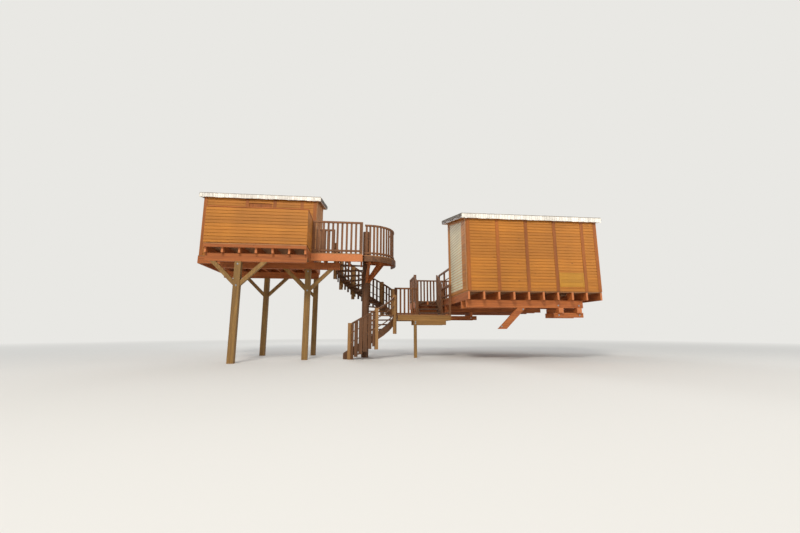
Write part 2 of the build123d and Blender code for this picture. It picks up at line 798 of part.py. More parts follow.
# Gallery round the top of the centre post, and the bridge to the upper cabin
gallery_angles = [upper_end + step * TREAD_ANGLE for step in range(GALLERY_BAYS + 1)]
gallery_edge = STAIR_RADIUS + STRINGER / 2
with BuildPart() as gallery_deck:
    with BuildSketch(Plane.XY.offset(UPPER_Z - BOARD)):
        with BuildLine():
            Polyline(
                (STAIR_X, STAIR_Y),
                *[on_stair(angle, gallery_edge)[:2] for angle in gallery_angles],
                close=True,
            )
        make_face()
        with Locations((UPPER_RIGHT, BRIDGE_FRONT)):
            Rectangle(
                BRIDGE_END - UPPER_RIGHT,
                BRIDGE_BACK - BRIDGE_FRONT,
                align=(Align.MIN, Align.MIN),
            )
        with Locations((STAIR_X, STAIR_Y)):
            Circle(STAIR_INNER, mode=Mode.SUBTRACT)
    extrude(amount=BOARD)
keep(gallery_deck, "gallery_deck")

rim_angles = [angle for angle in gallery_angles if angle >= GALLERY_RIM_START]
with BuildPart() as gallery_rim:
    curved_board(
        STAIR_RADIUS,
        STRINGER,
        GALLERY_RIM,
        rim_angles,
        [UPPER_Z - BOARD - GALLERY_RIM / 2] * len(rim_angles),
    )
keep(gallery_rim, "gallery_rim")

bracket_reach = STAIR_RADIUS * cos(radians(TREAD_ANGLE / 2)) - STRINGER / 2 - FIT
with BuildPart() as gallery_brackets:
    for angle in BRACKET_ANGLES:
        outward = Vector(1, 0, 0).rotate(Axis.Z, angle)
        side = Vector(0, -1, 0).rotate(Axis.Z, angle)
        radial = Plane(origin=(STAIR_X, STAIR_Y, 0), x_dir=outward, z_dir=side)
        arm_top = UPPER_Z - BOARD
        with BuildSketch(radial.offset(-BRACKET_THICKNESS / 2)) as bracket:
            Polygon(
                (STAIR_INNER, arm_top),
                (bracket_reach, arm_top),
                (bracket_reach, arm_top - BRACE),
                (BRACKET_SPREAD + BRACE, arm_top - BRACE),
                (STAIR_INNER, arm_top - BRACKET_DROP),
                (STAIR_INNER, arm_top - BRACKET_DROP + 2 * BRACE),
                (BRACKET_SPREAD - BRACE / 2, arm_top - BRACE),
                (STAIR_INNER, arm_top - BRACE),
                align=None,
            )
        extrude(bracket.sketch, amount=BRACKET_THICKNESS)
keep(gallery_brackets, "gallery_brackets")

with BuildPart() as gallery_rail:
    rail_at = STAIR_RADIUS - RAIL_TIMBER
    for near, far in zip(rim_angles, rim_angles[1:]):
        rail_panel(
            on_stair(near + GALLERY_PANEL_GAP, rail_at, UPPER_Z),
            on_stair(far - GALLERY_PANEL_GAP, rail_at, UPPER_Z),
            posts=False,
        )
keep(gallery_rail, "gallery_rail")

bridge_joists_at = spaced(UPPER_RIGHT + SOLID_GAP, BRIDGE_END - JOIST_WIDTH, BRIDGE_BAYS)
bridge_joist_low = UPPER_Z - BOARD - JOIST_DEPTH
with BuildPart() as bridge_joists:
    for place in bridge_joists_at:
        timber(
            (place, BRIDGE_FRONT + JOIST_WIDTH + SOLID_GAP, bridge_joist_low),
            (place + JOIST_WIDTH, BRIDGE_BACK, UPPER_Z - BOARD),
        )
    timber(
        (UPPER_RIGHT + SOLID_GAP, BRIDGE_FRONT, bridge_joist_low),
        (BRIDGE_END, BRIDGE_FRONT + JOIST_WIDTH, UPPER_Z - BOARD),
    )
keep(bridge_joists, "bridge_joists")

with BuildPart() as bridge_rails:
    front_line = BRIDGE_FRONT + RAIL_TIMBER / 2
    rail_panel((UPPER_RIGHT + SOLID_GAP, front_line, UPPER_Z), (BRIDGE_END, front_line, UPPER_Z))
    back_line = BRIDGE_BACK - RAIL_TIMBER / 2
    rail_panel((UPPER_RIGHT + SOLID_GAP, back_line, UPPER_Z), (BRIDGE_RAIL_END, back_line, UPPER_Z))
keep(bridge_rails, "bridge_rails")

# Upper platform on posts with forked braces
upper_joist_low = UPPER_Z - BOARD - JOIST_DEPTH
main_beam_low = upper_joist_low - MAIN_BEAM_DEPTH
upper_joist_top = UPPER_Z - BOARD
ledge = UPPER_WALL_FRONT - CABIN_LEDGE
with BuildPart() as upper_deck:
    with BuildSketch(Plane.XY.offset(upper_joist_top)):
        with BuildLine():
            Polyline(
                (UPPER_LEFT, ledge),
                (BALCONY_LEFT, ledge),
                (BALCONY_LEFT, UPPER_FRONT),
                (UPPER_RIGHT, UPPER_FRONT),
                (UPPER_RIGHT, UPPER_BACK),
                (UPPER_LEFT, UPPER_BACK),
                close=True,
            )
        make_face()
    extrude(amount=BOARD)
keep(upper_deck, "upper_deck")

upper_joist_places = spaced(UPPER_LEFT, UPPER_RIGHT - JOIST_WIDTH, UPPER_JOIST_BAYS)
with BuildPart() as upper_joists:
    for bay, place in enumerate(upper_joist_places):
        start = ledge if bay < BALCONY_SETBACK_BAYS else UPPER_FRONT
        timber(
            (place, start + JOIST_WIDTH + SOLID_GAP, upper_joist_low),
            (place + JOIST_WIDTH, UPPER_BACK - JOIST_WIDTH - SOLID_GAP, upper_joist_top),
        )
keep(upper_joists, "upper_joists")

with BuildPart() as upper_rims:
    timber(
        (BALCONY_LEFT, UPPER_FRONT, upper_joist_top - FRONT_RIM_DEPTH),
        (UPPER_RIGHT, UPPER_FRONT + JOIST_WIDTH, upper_joist_top),
    )
    timber(
        (UPPER_LEFT, ledge, upper_joist_low),
        (BALCONY_LEFT - SOLID_GAP, ledge + JOIST_WIDTH, upper_joist_top),
    )
    timber(
        (UPPER_LEFT, UPPER_BACK - JOIST_WIDTH, upper_joist_low),
        (UPPER_RIGHT, UPPER_BACK, upper_joist_top),
    )
keep(upper_rims, "upper_rims")

beam_runs = (
    (FRONT_POST[1], BALCONY_LEFT, UPPER_RIGHT),
    (SIDE_POST[1], BALCONY_LEFT, MAIN_BEAM_END),
    (BACK_POST_Y, UPPER_LEFT + MAIN_BEAM_SETBACK, UPPER_RIGHT),
)
with BuildPart() as main_beams:
    for beam_y, beam_start, beam_end in beam_runs:
        timber(
            (beam_start, beam_y - MAIN_BEAM_WIDTH / 2, main_beam_low),
            (beam_end, beam_y + MAIN_BEAM_WIDTH / 2, upper_joist_low),
        )
keep(main_beams, "main_beams")

posts_at = (FRONT_POST, SIDE_POST, (FRONT_POST[0], BACK_POST_Y), (SIDE_POST[0], BACK_POST_Y))
with BuildPart() as upper_posts:
    for x, y in posts_at:
        timber(
            (x - UPPER_POST / 2, y - UPPER_POST / 2, 0),
            (x + UPPER_POST / 2, y + UPPER_POST / 2, main_beam_low),
        )
keep(upper_posts, "upper_posts")

with BuildPart() as fork_braces:
    for x, y in posts_at:
        for side in (-1, 1):
            near = x + side * UPPER_POST / 2
            far = near + side * BRACE_REACH
            if far < UPPER_RIGHT or y == SIDE_POST[1]:
                profile(
                    Plane.XZ.offset(-y - BRACE / 2),
                    [
                        (near, main_beam_low - BRACE_REACH - BRACE),
                        (near, main_beam_low - BRACE_REACH + BRACE / 2),
                        (far - side * BRACE / 2, main_beam_low),
                        (far + side * BRACE, main_beam_low),
                    ],
                    BRACE,
                )
keep(fork_braces, "fork_braces")

with BuildPart() as balcony_rails:
    front_line = UPPER_FRONT + RAIL_TIMBER / 2
    rail_panel((BALCONY_LEFT, front_line, UPPER_Z), (UPPER_RIGHT, front_line, UPPER_Z), filling="closed")
    left_line = BALCONY_LEFT + RAIL_TIMBER / 2
    rail_start = UPPER_FRONT + RAIL_TIMBER + SOLID_GAP
    wall_end = UPPER_WALL_FRONT - BATTEN_PROUD - SOLID_GAP
    rail_panel((left_line, rail_start, UPPER_Z), (left_line, wall_end, UPPER_Z), filling="closed")
    right_line = UPPER_RIGHT - RAIL_TIMBER / 2
    rail_panel((right_line, rail_start, UPPER_Z), (right_line, BRIDGE_FRONT, UPPER_Z), filling="closed")
keep(balcony_rails, "balcony_rails")
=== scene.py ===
import math
import random

import bmesh
import bpy
from bpy.props import FloatProperty, FloatVectorProperty, IntProperty, PointerProperty
from mathutils import Matrix, Vector


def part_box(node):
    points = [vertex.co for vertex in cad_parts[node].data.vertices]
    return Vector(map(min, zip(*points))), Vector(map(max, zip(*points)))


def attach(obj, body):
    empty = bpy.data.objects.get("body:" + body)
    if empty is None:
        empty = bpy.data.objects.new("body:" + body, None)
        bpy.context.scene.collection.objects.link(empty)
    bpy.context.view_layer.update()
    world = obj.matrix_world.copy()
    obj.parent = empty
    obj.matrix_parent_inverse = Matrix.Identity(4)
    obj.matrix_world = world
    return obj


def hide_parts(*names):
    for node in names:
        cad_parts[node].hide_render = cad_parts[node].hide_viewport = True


bl_info = {
    "name": "Tree House Finisher",
    "version": (1, 0, 0),
    "blender": (4, 5, 0),
    "location": "View3D > Sidebar > Tree House",
    "description": "Dresses the framed tree house with boards, shingles, decking, fixings and timber finishes",
    "category": "Object",
}

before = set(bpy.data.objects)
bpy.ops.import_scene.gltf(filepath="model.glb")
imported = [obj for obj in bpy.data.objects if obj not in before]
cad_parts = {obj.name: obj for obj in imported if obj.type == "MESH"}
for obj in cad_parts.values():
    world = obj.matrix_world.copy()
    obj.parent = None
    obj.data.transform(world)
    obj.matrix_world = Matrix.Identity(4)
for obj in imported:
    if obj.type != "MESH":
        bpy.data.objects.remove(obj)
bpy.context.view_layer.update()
MM = 0.001
ROOT = "root"
CABINS = ("lower", "upper")
# Both roofs rise 12 degrees to the back
SLOPE = math.tan(math.radians(12))
ROOF_NORMAL = Vector((0, -SLOPE, 1)).normalized()

# The camera's place and heading in metres, its pitch in degrees and its lens in millimetres
EYE = Vector((-1.99, -12.72, 0.905))
HEADING = Vector((0.1132, 0.9936, 0.0))
PITCH = 10.2
LENS = 16.2


def linear(code):
    """Turns an sRGB hex colour into linear values with full alpha."""
    channels = [int(code[place : place + 2], 16) / 255 for place in (1, 3, 5)]
    return tuple(c / 12.92 if c <= 0.04045 else ((c + 0.055) / 1.055) ** 2.4 for c in channels) + (1.0,)


def shaded(colour, share, added=0.0):
    """A darker or paler shade of a linear colour, with full alpha."""
    return tuple(min(1.0, c * share + added) for c in colour[:3]) + (1.0,)


def colour_property(name, description, code):
    """A colour that a user can change, with its default given as sRGB hex."""
    return FloatVectorProperty(
        name=name, description=description, subtype="COLOR", size=4, min=0, max=1, default=linear(code)
    )


def length_property(name, description, millimetres):
    """A length that a user can change, in metres, with its default given in millimetres."""
    return FloatProperty(
        name=name, description=description, subtype="DISTANCE", unit="LENGTH", default=millimetres * MM
    )


class TreeHouseSizes(bpy.types.PropertyGroup):
    cladding_pitch: length_property("Cladding board", "Height of one cladding board with its joint", 96)
    cladding_joint: length_property("Cladding joint", "Open joint between two cladding boards", 10)
    cladding_depth: length_property("Cladding depth", "How far the boards stand out from the wall", 15)
    panel_pitch: length_property("Panel board", "Height of one board of the pale side panel", 96)
    panel_joint: length_property("Panel joint", "Joint between two boards of the side panel", 20)
    deck_pitch: length_property("Deck board", "Width of one deck board with its gap", 145)
    deck_gap: length_property("Deck gap", "Gap between two deck boards", 6)
    door_pitch: length_property("Door board", "Width of one upright door board", 98)
    shingle_row: length_property("Shingle row", "Exposed length of one shingle course", 150)
    shingle_width: length_property("Shingle width", "Mean width of a shingle", 170)
    bolt_width: length_property("Bolt head", "Width of a bolt head across its flats", 30)
    edge: length_property("Eased edge", "Width of the eased edges on timbers", 4)
    seed: IntProperty(name="Seed", description="Choice of board and shingle variation", default=7, min=0)


class TreeHouseColours(bpy.types.PropertyGroup):
    cladding_pale: colour_property("Cladding, pale grain", "Early wood of the wall boards", "#C88226")
    cladding_deep: colour_property("Cladding, deep grain", "Late wood of the wall boards", "#A25E14")
    batten_pale: colour_property("Battens, pale grain", "Early wood of the posts on the walls", "#AA611A")
    batten_deep: colour_property("Battens, deep grain", "Late wood of the posts on the walls", "#84440E")
    shutter_pale: colour_property("Shutters, pale grain", "Early wood of the shutters", "#C68C22")
    shutter_deep: colour_property("Shutters, deep grain", "Late wood of the shutters", "#AE7418")
    panel_pale: colour_property("Side panel, pale", "Cream stain on the side panel", "#E6DFC0")
    panel_deep: colour_property("Side panel, grey", "Grey of the side panel's grain", "#C4BC98")
    corner_pale: colour_property("Corner boards, pale grain", "Early wood of the corner boards", "#CC8E52")
    corner_deep: colour_property("Corner boards, deep grain", "Late wood of the corner boards", "#A66A2E")
    frame_pale: colour_property("Framing, pale grain", "Early wood of joists and beams", "#BE6E32")
    frame_deep: colour_property("Framing, deep grain", "Late wood of joists and beams", "#88441A")
    walkway_pale: colour_property("Walkway, pale grain", "Early wood of the walkway's beams", "#AE8044")
    walkway_deep: colour_property("Walkway, deep grain", "Late wood of the walkway's beams", "#745024")
    deck_pale: colour_property("Decking, pale grain", "Early wood of the deck boards", "#B08050")
    deck_deep: colour_property("Decking, deep grain", "Late wood of the deck boards", "#74482A")
    post_pale: colour_property("Posts, pale grain", "Early wood of the tall posts", "#A07A40")
    post_deep: colour_property("Posts, deep grain", "Late wood of the tall posts", "#6A4A24")
    stair_pale: colour_property("Stair, pale grain", "Early wood of the winding stair", "#7A4E2A")
    stair_deep: colour_property("Stair, deep grain", "Late wood of the winding stair", "#442A12")
    newel: colour_property("Newels", "Paler uprights of the winding stair", "#B0884C")
    rail_pale: colour_property("Railings, pale grain", "Early wood of the railings", "#8E5C30")
    rail_deep: colour_property("Railings, deep grain", "Late wood of the railings", "#563016")
    eaves_pale: colour_property("Eaves board, pale", "Planed face of the boards along the eaves", "#FFFCF4")
    eaves_deep: colour_property("Eaves board, deep", "Grain of the boards along the eaves", "#F2E8D6")
    # Painted shade in dark brown, which the eaves boards take on their sideways faces at the verges
    verge_painted_shade: colour_property("Verge board", "Dark boards along the sloping edges", "#4E3022")
    shingle_pale: colour_property("Shingles, pale", "Weathered face of the shingles", "#8C8378")
    shingle_deep: colour_property("Shingles, deep", "Damp ends of the shingles", "#4A423A")
    steel: colour_property("Zinc", "Galvanised bolts and hinges", "#A9ADAF")
    backdrop: colour_property("Backdrop", "Pale studio floor and background", "#E9E8E4")


def settings():
    """The sizes and colours that the panel shows."""
    return bpy.context.scene.tree_house_sizes, bpy.context.scene.tree_house_colours


def grain_colours(timber):
    """The colours of early and late wood that the panel shows for a timber."""
    colours = settings()[1]
    return getattr(colours, f"{timber}_pale"), getattr(colours, f"{timber}_deep")


def add_node(tree, kind, inputs=(), **values):
    """Adds a shader node with its settings, its input values and its links."""
    made = tree.nodes.new(kind)
    for key, value in values.items():
        setattr(made, key, value)
    for socket, source in dict(inputs).items():
        if isinstance(source, bpy.types.NodeSocket):
            tree.links.new(source, made.inputs[socket])
        else:
            made.inputs[socket].default_value = source
    return made


def ramp_stops(ramp, stops):
    """Sets the stops of a colour ramp node."""
    elements = ramp.color_ramp.elements
    while len(elements) < len(stops):
        elements.new(0.5)
    for element, (place, colour) in zip(elements, stops):
        element.position = place
        element.color = colour


def new_material(name):
    """An empty node material with its shader and output."""
    material = bpy.data.materials.new(name)
    material.use_nodes = True
    material.node_tree.nodes.clear()
    shader = add_node(material.node_tree, "ShaderNodeBsdfPrincipled")
    add_node(material.node_tree, "ShaderNodeOutputMaterial", {"Surface": shader.outputs["BSDF"]})
    return material, material.node_tree, shader


# The grain runs this many times longer along a board than across it
GRAIN_RUN = 26
# Mean distance between knots along a board, in millimetres
KNOT_SPACING = 620
# Knots lie this many times closer across the boards than along them
KNOTS_ACROSS = 2.2
# Moves the grain of every board to another place in the pattern
BOARD_SHIFT = 40.0
# Middle and half width of the grain values over which the tone goes from late wood to early wood
TONE_MIDDLE, TONE_REACH = 0.48, 0.18
# Broad stains for each metre along X, Y and Z: about 0.8 m wide and 2.2 m tall
STAINS_PER_METRE = (1.3, 1.3, 0.45)
JOINT_SHADOW = linear("#271D12")


def timber_material(
    name, timber, along, grain_mm=7, roughness=0.62, relief_mm=0.5, spread=0.16, contrast=1.0, joints=None
):
    """Sawn or planed softwood: long streaks of early and late wood, knots, and boards that differ in tone.

    The grain runs along one axis. The spread is how far boards differ in tone, and joints names the axis
    across which the joints of boards are drawn on one surface.
    """
    # Growth rings are 2 to 4 mm apart. Streaks as fine as that don't show, so the main ones are drawn 10 to
    # 20 mm apart, twice grain_mm, and only their detail comes down to the real spacing.
    pale, deep = grain_colours(timber)
    material, tree, shader = new_material(name)
    place = add_node(tree, "ShaderNodeTexCoord").outputs["Object"]
    island = add_node(tree, "ShaderNodeNewGeometry").outputs["Random Per Island"]
    shift = add_node(tree, "ShaderNodeMath", {0: island, 1: BOARD_SHIFT}, operation="MULTIPLY")
    moved = add_node(tree, "ShaderNodeVectorMath", {0: place, 1: shift.outputs[0]}, operation="ADD")
    across = 1 / (grain_mm * MM)
    stretch = [across, across, across]
    stretch["XYZ".index(along)] = across / GRAIN_RUN
    grain_place = add_node(
        tree, "ShaderNodeVectorMath", {0: moved.outputs[0], 1: stretch}, operation="MULTIPLY"
    )
    grain = add_node(
        tree,
        "ShaderNodeTexNoise",
        {"Vector": grain_place.outputs[0], "Scale": 0.5, "Detail": 5.0, "Roughness": 0.62, "Distortion": 0.7},
    )
    rings_place = add_node(
        tree, "ShaderNodeVectorMath", {0: grain_place.outputs[0], "Scale": 0.12}, operation="SCALE"
    )
    rings = add_node(
        tree,
        "ShaderNodeTexNoise",
        {"Vector": rings_place.outputs[0], "Scale": 0.8, "Detail": 3.0, "Distortion": 1.6},
    )
    mixed = add_node(tree, "ShaderNodeMix", {0: 0.45, 2: grain.outputs["Fac"], 3: rings.outputs["Fac"]})
    tone = add_node(tree, "ShaderNodeValToRGB", {"Fac": mixed.outputs[0]})
    ramp_stops(tone, [(TONE_MIDDLE - TONE_REACH / contrast, deep), (TONE_MIDDLE + TONE_REACH / contrast, pale)])
    knots_along = 1000 / KNOT_SPACING
    knot_stretch = [knots_along * KNOTS_ACROSS] * 3
    knot_stretch["XYZ".index(along)] = knots_along
    knot_place = add_node(
        tree, "ShaderNodeVectorMath", {0: moved.outputs[0], 1: knot_stretch}, operation="MULTIPLY"
    )
    knots = add_node(tree, "ShaderNodeTexVoronoi", {"Vector": knot_place.outputs[0], "Scale": 1.0})
    knot_mask = add_node(
        tree,
        "ShaderNodeMapRange",
        {"Value": knots.outputs["Distance"], "From Min": 0.02, "From Max": 0.075, "To Min": 0.72, "To Max": 0.0},
    )
    knotted = add_node(
        tree,
        "ShaderNodeMix",
        {0: knot_mask.outputs[0], 6: tone.outputs["Color"], 7: shaded(deep, 0.35)},
        data_type="RGBA",
    )
    value = add_node(tree, "ShaderNodeMapRange", {"Value": island, "To Min": 1 - spread, "To Max": 1 + spread})
    varied = add_node(
        tree, "ShaderNodeHueSaturation", {"Color": knotted.outputs[2], "Value": value.outputs[0]}
    )
    stain_place = add_node(tree, "ShaderNodeVectorMath", {0: place, 1: STAINS_PER_METRE}, operation="MULTIPLY")
    stain = add_node(
        tree, "ShaderNodeTexNoise", {"Vector": stain_place.outputs[0], "Scale": 1.0, "Detail": 4.0}
    )
    stain_value = add_node(
        tree,
        "ShaderNodeMapRange",
        {"Value": stain.outputs["Fac"], "From Min": 0.3, "From Max": 0.7, "To Min": 0.86, "To Max": 1.08},
    )
    weathered = add_node(
        tree, "ShaderNodeHueSaturation", {"Color": varied.outputs[0], "Value": stain_value.outputs[0]}
    )
    colour = end_grain(tree, weathered.outputs[0], pale, along)
    height = mixed.outputs[0]
    if joints:
        colour, height = board_joints(tree, place, colour, height, joints)
    tree.links.new(colour, shader.inputs["Base Color"])
    rough = add_node(
        tree,
        "ShaderNodeMapRange",
        {"Value": grain.outputs["Fac"], "To Min": roughness + 0.12, "To Max": roughness - 0.1},
    )
    tree.links.new(rough.outputs[0], shader.inputs["Roughness"])
    bump = add_node(tree, "ShaderNodeBump", {"Height": height, "Distance": relief_mm * MM, "Strength": 0.6})
    tree.links.new(bump.outputs[0], shader.inputs["Normal"])
    return material


def end_grain(tree, colour, pale, along):
    """Paler sawn ends on the faces that cut across the grain."""
    normal = add_node(tree, "ShaderNodeTexCoord").outputs["Normal"]
    split = add_node(tree, "ShaderNodeSeparateXYZ", {0: normal})
    facing = add_node(tree, "ShaderNodeMath", {0: split.outputs["XYZ".index(along)]}, operation="ABSOLUTE")
    mask = add_node(
        tree,
        "ShaderNodeMapRange",
        {"Value": facing.outputs[0], "From Min": 0.9, "From Max": 0.97, "To Max": 0.6},
    )
    lighter = shaded(pale, 1.25, 0.04)
    mixed = add_node(tree, "ShaderNodeMix", {0: mask.outputs[0], 6: colour, 7: lighter}, data_type="RGBA")
    return mixed.outputs[2]


def board_joints(tree, place, colour, height, axis):
    """Draws the joints of boards laid side by side on a face that carries no boards of its own."""
    split = add_node(tree, "ShaderNodeSeparateXYZ", {0: place})
    rows = add_node(
        tree,
        "ShaderNodeMath",
        {0: split.outputs["XYZ".index(axis)], 1: 1 / settings()[0].cladding_pitch},
        operation="MULTIPLY",
    )
    part = add_node(tree, "ShaderNodeMath", {0: rows.outputs[0]}, operation="FRACT")
    off_middle = add_node(tree, "ShaderNodeMath", {0: part.outputs[0], 1: 0.5}, operation="SUBTRACT")
    reach = add_node(tree, "ShaderNodeMath", {0: off_middle.outputs[0]}, operation="ABSOLUTE")
    # The joint takes the outer 4 to 9 hundredths of each board
    joint = add_node(
        tree, "ShaderNodeMapRange", {"Value": reach.outputs[0], "From Min": 0.455, "From Max": 0.48}
    )
    darker = add_node(tree, "ShaderNodeMix", {0: joint.outputs[0], 6: colour, 7: JOINT_SHADOW}, data_type="RGBA")
    lower = add_node(
        tree, "ShaderNodeMath", {0: joint.outputs[0], 1: -6.0, 2: height}, operation="MULTIPLY_ADD"
    )
    return darker.outputs[2], lower.outputs[0]


# Zinc crystals are 5 to 6 mm wide, 180 to the metre
SPANGLES_PER_METRE = 180


def zinc_material(name, colour):
    """Hot-dip galvanised steel: dull grey metal with a faint spangle."""
    material, tree, shader = new_material(name)
    place = add_node(tree, "ShaderNodeTexCoord").outputs["Object"]
    spangle = add_node(tree, "ShaderNodeTexVoronoi", {"Vector": place, "Scale": SPANGLES_PER_METRE})
    tone = add_node(tree, "ShaderNodeValToRGB", {"Fac": spangle.outputs["Distance"]})
    ramp_stops(tone, [(0.0, shaded(colour, 0.6)), (0.8, colour)])
    tree.links.new(tone.outputs["Color"], shader.inputs["Base Color"])
    shader.inputs["Metallic"].default_value = 1.0
    shader.inputs["Roughness"].default_value = 0.42
    return material


def eaves_material(name, verge):
    """Planed boards along the eaves, pale on their long faces, and dark brown on the sloping verges as painted
    shade.
    """
    material = timber_material(name, "eaves", "X", grain_mm=9, roughness=0.5)
    tree = material.node_tree
    shader = tree.nodes["Principled BSDF"]
    board_colour = shader.inputs["Base Color"].links[0].from_socket
    normal = add_node(tree, "ShaderNodeNewGeometry").outputs["Normal"]
    split = add_node(tree, "ShaderNodeSeparateXYZ", {0: normal})
    # Painted shade: the faces that look along X, at the verges, take the dark brown in place of the shade that
    # falls there
    shade_side_facing = add_node(tree, "ShaderNodeMath", {0: split.outputs[0]}, operation="ABSOLUTE")
    mask = add_node(
        tree, "ShaderNodeMapRange", {"Value": shade_side_facing.outputs[0], "From Min": 0.6, "From Max": 0.8}
    )
    with_painted_shade = add_node(tree, "ShaderNodeMix", {0: mask.outputs[0], 6: board_colour, 7: verge}, data_type="RGBA")
    tree.links.new(with_painted_shade.outputs[2], shader.inputs["Base Color"])
    return material


# Where the newels stand round the centre post, in degrees and metres
NEWEL_ANGLES = {"lower_stair_rail": (-117, -72, -27), "upper_stair_rail": (25, 55, 85, 115, 145, 175)}
NEWEL_RADIUS = 1.1403
# Half a newel's diagonal, and the distance by which its paler colour has ended
NEWEL_REACH, NEWEL_END = 0.074, 0.078


def stair_rail_material(name, node, newel):
    """Dark oiled boards and rails between paler newels, which are told apart by their place."""
    material = timber_material(name, "stair", "Z", roughness=0.6)
    tree = material.node_tree
    shader = tree.nodes["Principled BSDF"]
    dark = shader.inputs["Base Color"].links[0].from_socket
    grain = add_node(tree, "ShaderNodeHueSaturation", {"Color": dark, "Value": 1.9, "Saturation": 0.95})
    warm = add_node(tree, "ShaderNodeMix", {0: 0.45, 6: grain.outputs[0], 7: newel}, data_type="RGBA")
    place = add_node(tree, "ShaderNodeTexCoord").outputs["Object"]
    flat = add_node(tree, "ShaderNodeVectorMath", {0: place, 1: (1.0, 1.0, 0.0)}, operation="MULTIPLY")
    nearest = None
    for x, y in newel_places(node):
        distance = add_node(
            tree, "ShaderNodeVectorMath", {0: flat.outputs[0], 1: (x, y, 0.0)}, operation="DISTANCE"
        )
        gap = distance.outputs["Value"]
        if nearest is not None:
            gap = add_node(tree, "ShaderNodeMath", {0: nearest, 1: gap}, operation="MINIMUM").outputs[0]
        nearest = gap
    mask = add_node(
        tree,
        "ShaderNodeMapRange",
        {"Value": nearest, "From Min": NEWEL_REACH, "From Max": NEWEL_END, "To Min": 1.0, "To Max": 0.0},
    )
    mixed = add_node(tree, "ShaderNodeMix", {0: mask.outputs[0], 6: dark, 7: warm.outputs[2]}, data_type="RGBA")
    tree.links.new(mixed.outputs[2], shader.inputs["Base Color"])
    return material


def stair_middle():
    """The middle of the winding stair's centre post."""
    low, high = corners("stair_centre_post")
    return (low + high) / 2


def newel_places(node):
    """Where the newels of a stair rail stand, measured round the centre post."""
    middle = stair_middle()
    for angle in NEWEL_ANGLES[node]:
        turn = math.radians(angle)
        yield middle.x + NEWEL_RADIUS * math.cos(turn), middle.y + NEWEL_RADIUS * math.sin(turn)


# Straight from the saw: rough, without sheen, and with a deeper relief
SAWN = {"roughness": 0.7, "relief_mm": 0.8}


def finish_materials():
    """Makes every material once and returns them by name."""
    colours = settings()[1]
    return {
        # Larch planed smooth and oiled dark: red-brown, with a dull sheen on the handrails and paler newels
        "lower_newels": stair_rail_material(
            "Planed larch lower stair rail, dark oil", "lower_stair_rail", colours.newel
        ),
        "upper_newels": stair_rail_material(
            "Planed larch upper stair rail, dark oil", "upper_stair_rail", colours.newel
        ),
        # Larch planed and oiled: even warm orange, soft grain, and each board a little lighter or darker
        "cladding_x": timber_material(
            "Planed oiled larch cladding along X", "cladding", "X", spread=0.13, contrast=0.55
        ),
        "cladding_y": timber_material(
            "Planed oiled larch cladding along Y", "cladding", "Y", spread=0.13, contrast=0.55
        ),
        # The same boards on the inner face of a closed rail: one surface, so its joints are drawn
        "parapet": timber_material("Planed oiled larch balcony boards", "cladding", "X", spread=0.04, joints="Z"),
        # Boards inside the rooms: the cladding's colours with more grain, and drawn joints
        "lining": timber_material("Planed larch lining", "cladding", "X", spread=0.02, joints="Z"),
        # Boards under the roof, seen from below as fine dark lines that run along the eaves
        "soffit": timber_material("Planed larch soffit boards", "cladding", "X", spread=0.02, joints="Y"),
        # Upright larch battens, planed and oiled: redder and darker than the boards behind them
        "batten": timber_material("Planed oiled larch battens", "batten", "Z"),
        # Corner boards planed and left dry: paler than the oiled walls, with stronger grain
        "corner": timber_material("Planed larch corner boards", "corner", "Z", contrast=0.8),
        # Beams from the saw: rough, brown and without sheen
        "walkway": timber_material("Sawn larch walkway beams", "walkway", "X", grain_mm=9, **SAWN),
        # Newer planed boards: yellow and close-grained, so that the shutter stands out from the wall
        "shutter": timber_material(
            "Planed larch shutter boards",
            "shutter",
            "X",
            grain_mm=5,
            roughness=0.58,
            relief_mm=0.3,
            spread=0.1,
            contrast=0.6,
        ),
        # Upright boards, planed and oiled: the battens' brown with long streaks
        "door": timber_material("Planed oiled larch door boards", "batten", "Z"),
        # Spruce with a thin cream stain: pale and matt, with the grain just showing through
        "panel": timber_material(
            "Planed spruce with cream stain",
            "panel",
            "Y",
            grain_mm=6,
            roughness=0.6,
            relief_mm=0.3,
            spread=0.05,
            contrast=0.6,
        ),
        # Framing from the saw: coarse red-orange grain, rough, with pale ends
        "frame_x": timber_material("Sawn spruce framing along X", "frame", "X", grain_mm=10, **SAWN),
        "frame_y": timber_material("Sawn spruce framing along Y", "frame", "Y", grain_mm=10, **SAWN),
        # Sawn boards underfoot: dull brown, and each board differs clearly from the next
        "deck": timber_material(
            "Sawn larch decking", "deck", "X", grain_mm=6, roughness=0.72, relief_mm=0.7, spread=0.22
        ),
        # Squared posts weathered outdoors: dull yellow-brown, rough and dry
        "post": timber_material("Sawn weathered larch posts", "post", "Z", grain_mm=9, **SAWN),
        # Stair timbers planed and oiled dark: deep red-brown with a low sheen
        "stair_z": timber_material("Planed larch uprights, dark oil", "stair", "Z", roughness=0.6),
        "stair_x": timber_material("Planed larch treads, dark oil", "stair", "X", roughness=0.6, spread=0.2),
        # Rails planed and oiled: mid brown, between the stair and the newels
        "rail": timber_material("Planed oiled larch railings", "rail", "Z"),
        # Planed boards with a white stain: the palest timber, with only a hint of grain, and dark brown painted
        # shade on the verges' faces
        "eaves": eaves_material("Planed larch eaves boards, white stain", colours.verge_painted_shade),
        # Split larch left to weather: silver-grey, rough, and every shingle its own shade
        "shingle": timber_material(
            "Split weathered larch shingles", "shingle", "Y", grain_mm=5, roughness=0.85, relief_mm=0.9, spread=0.28
        ),
        # Steel dipped in zinc: dull grey with soft blurred glints
        "zinc": zinc_material("Hot-dip galvanised steel", colours.steel),
    }


FINISHES = {}


def finish(name):
    """The material of that name, made on first use."""
    if not FINISHES:
        FINISHES.update(finish_materials())
    return FINISHES[name]


def dress(node, finish_name, edge=None):
    """Gives a framed node its finish and eased edges."""
    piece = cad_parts[node]
    piece.data.materials.clear()
    piece.data.materials.append(finish(finish_name))
    ease(piece, settings()[0].edge if edge is None else edge)


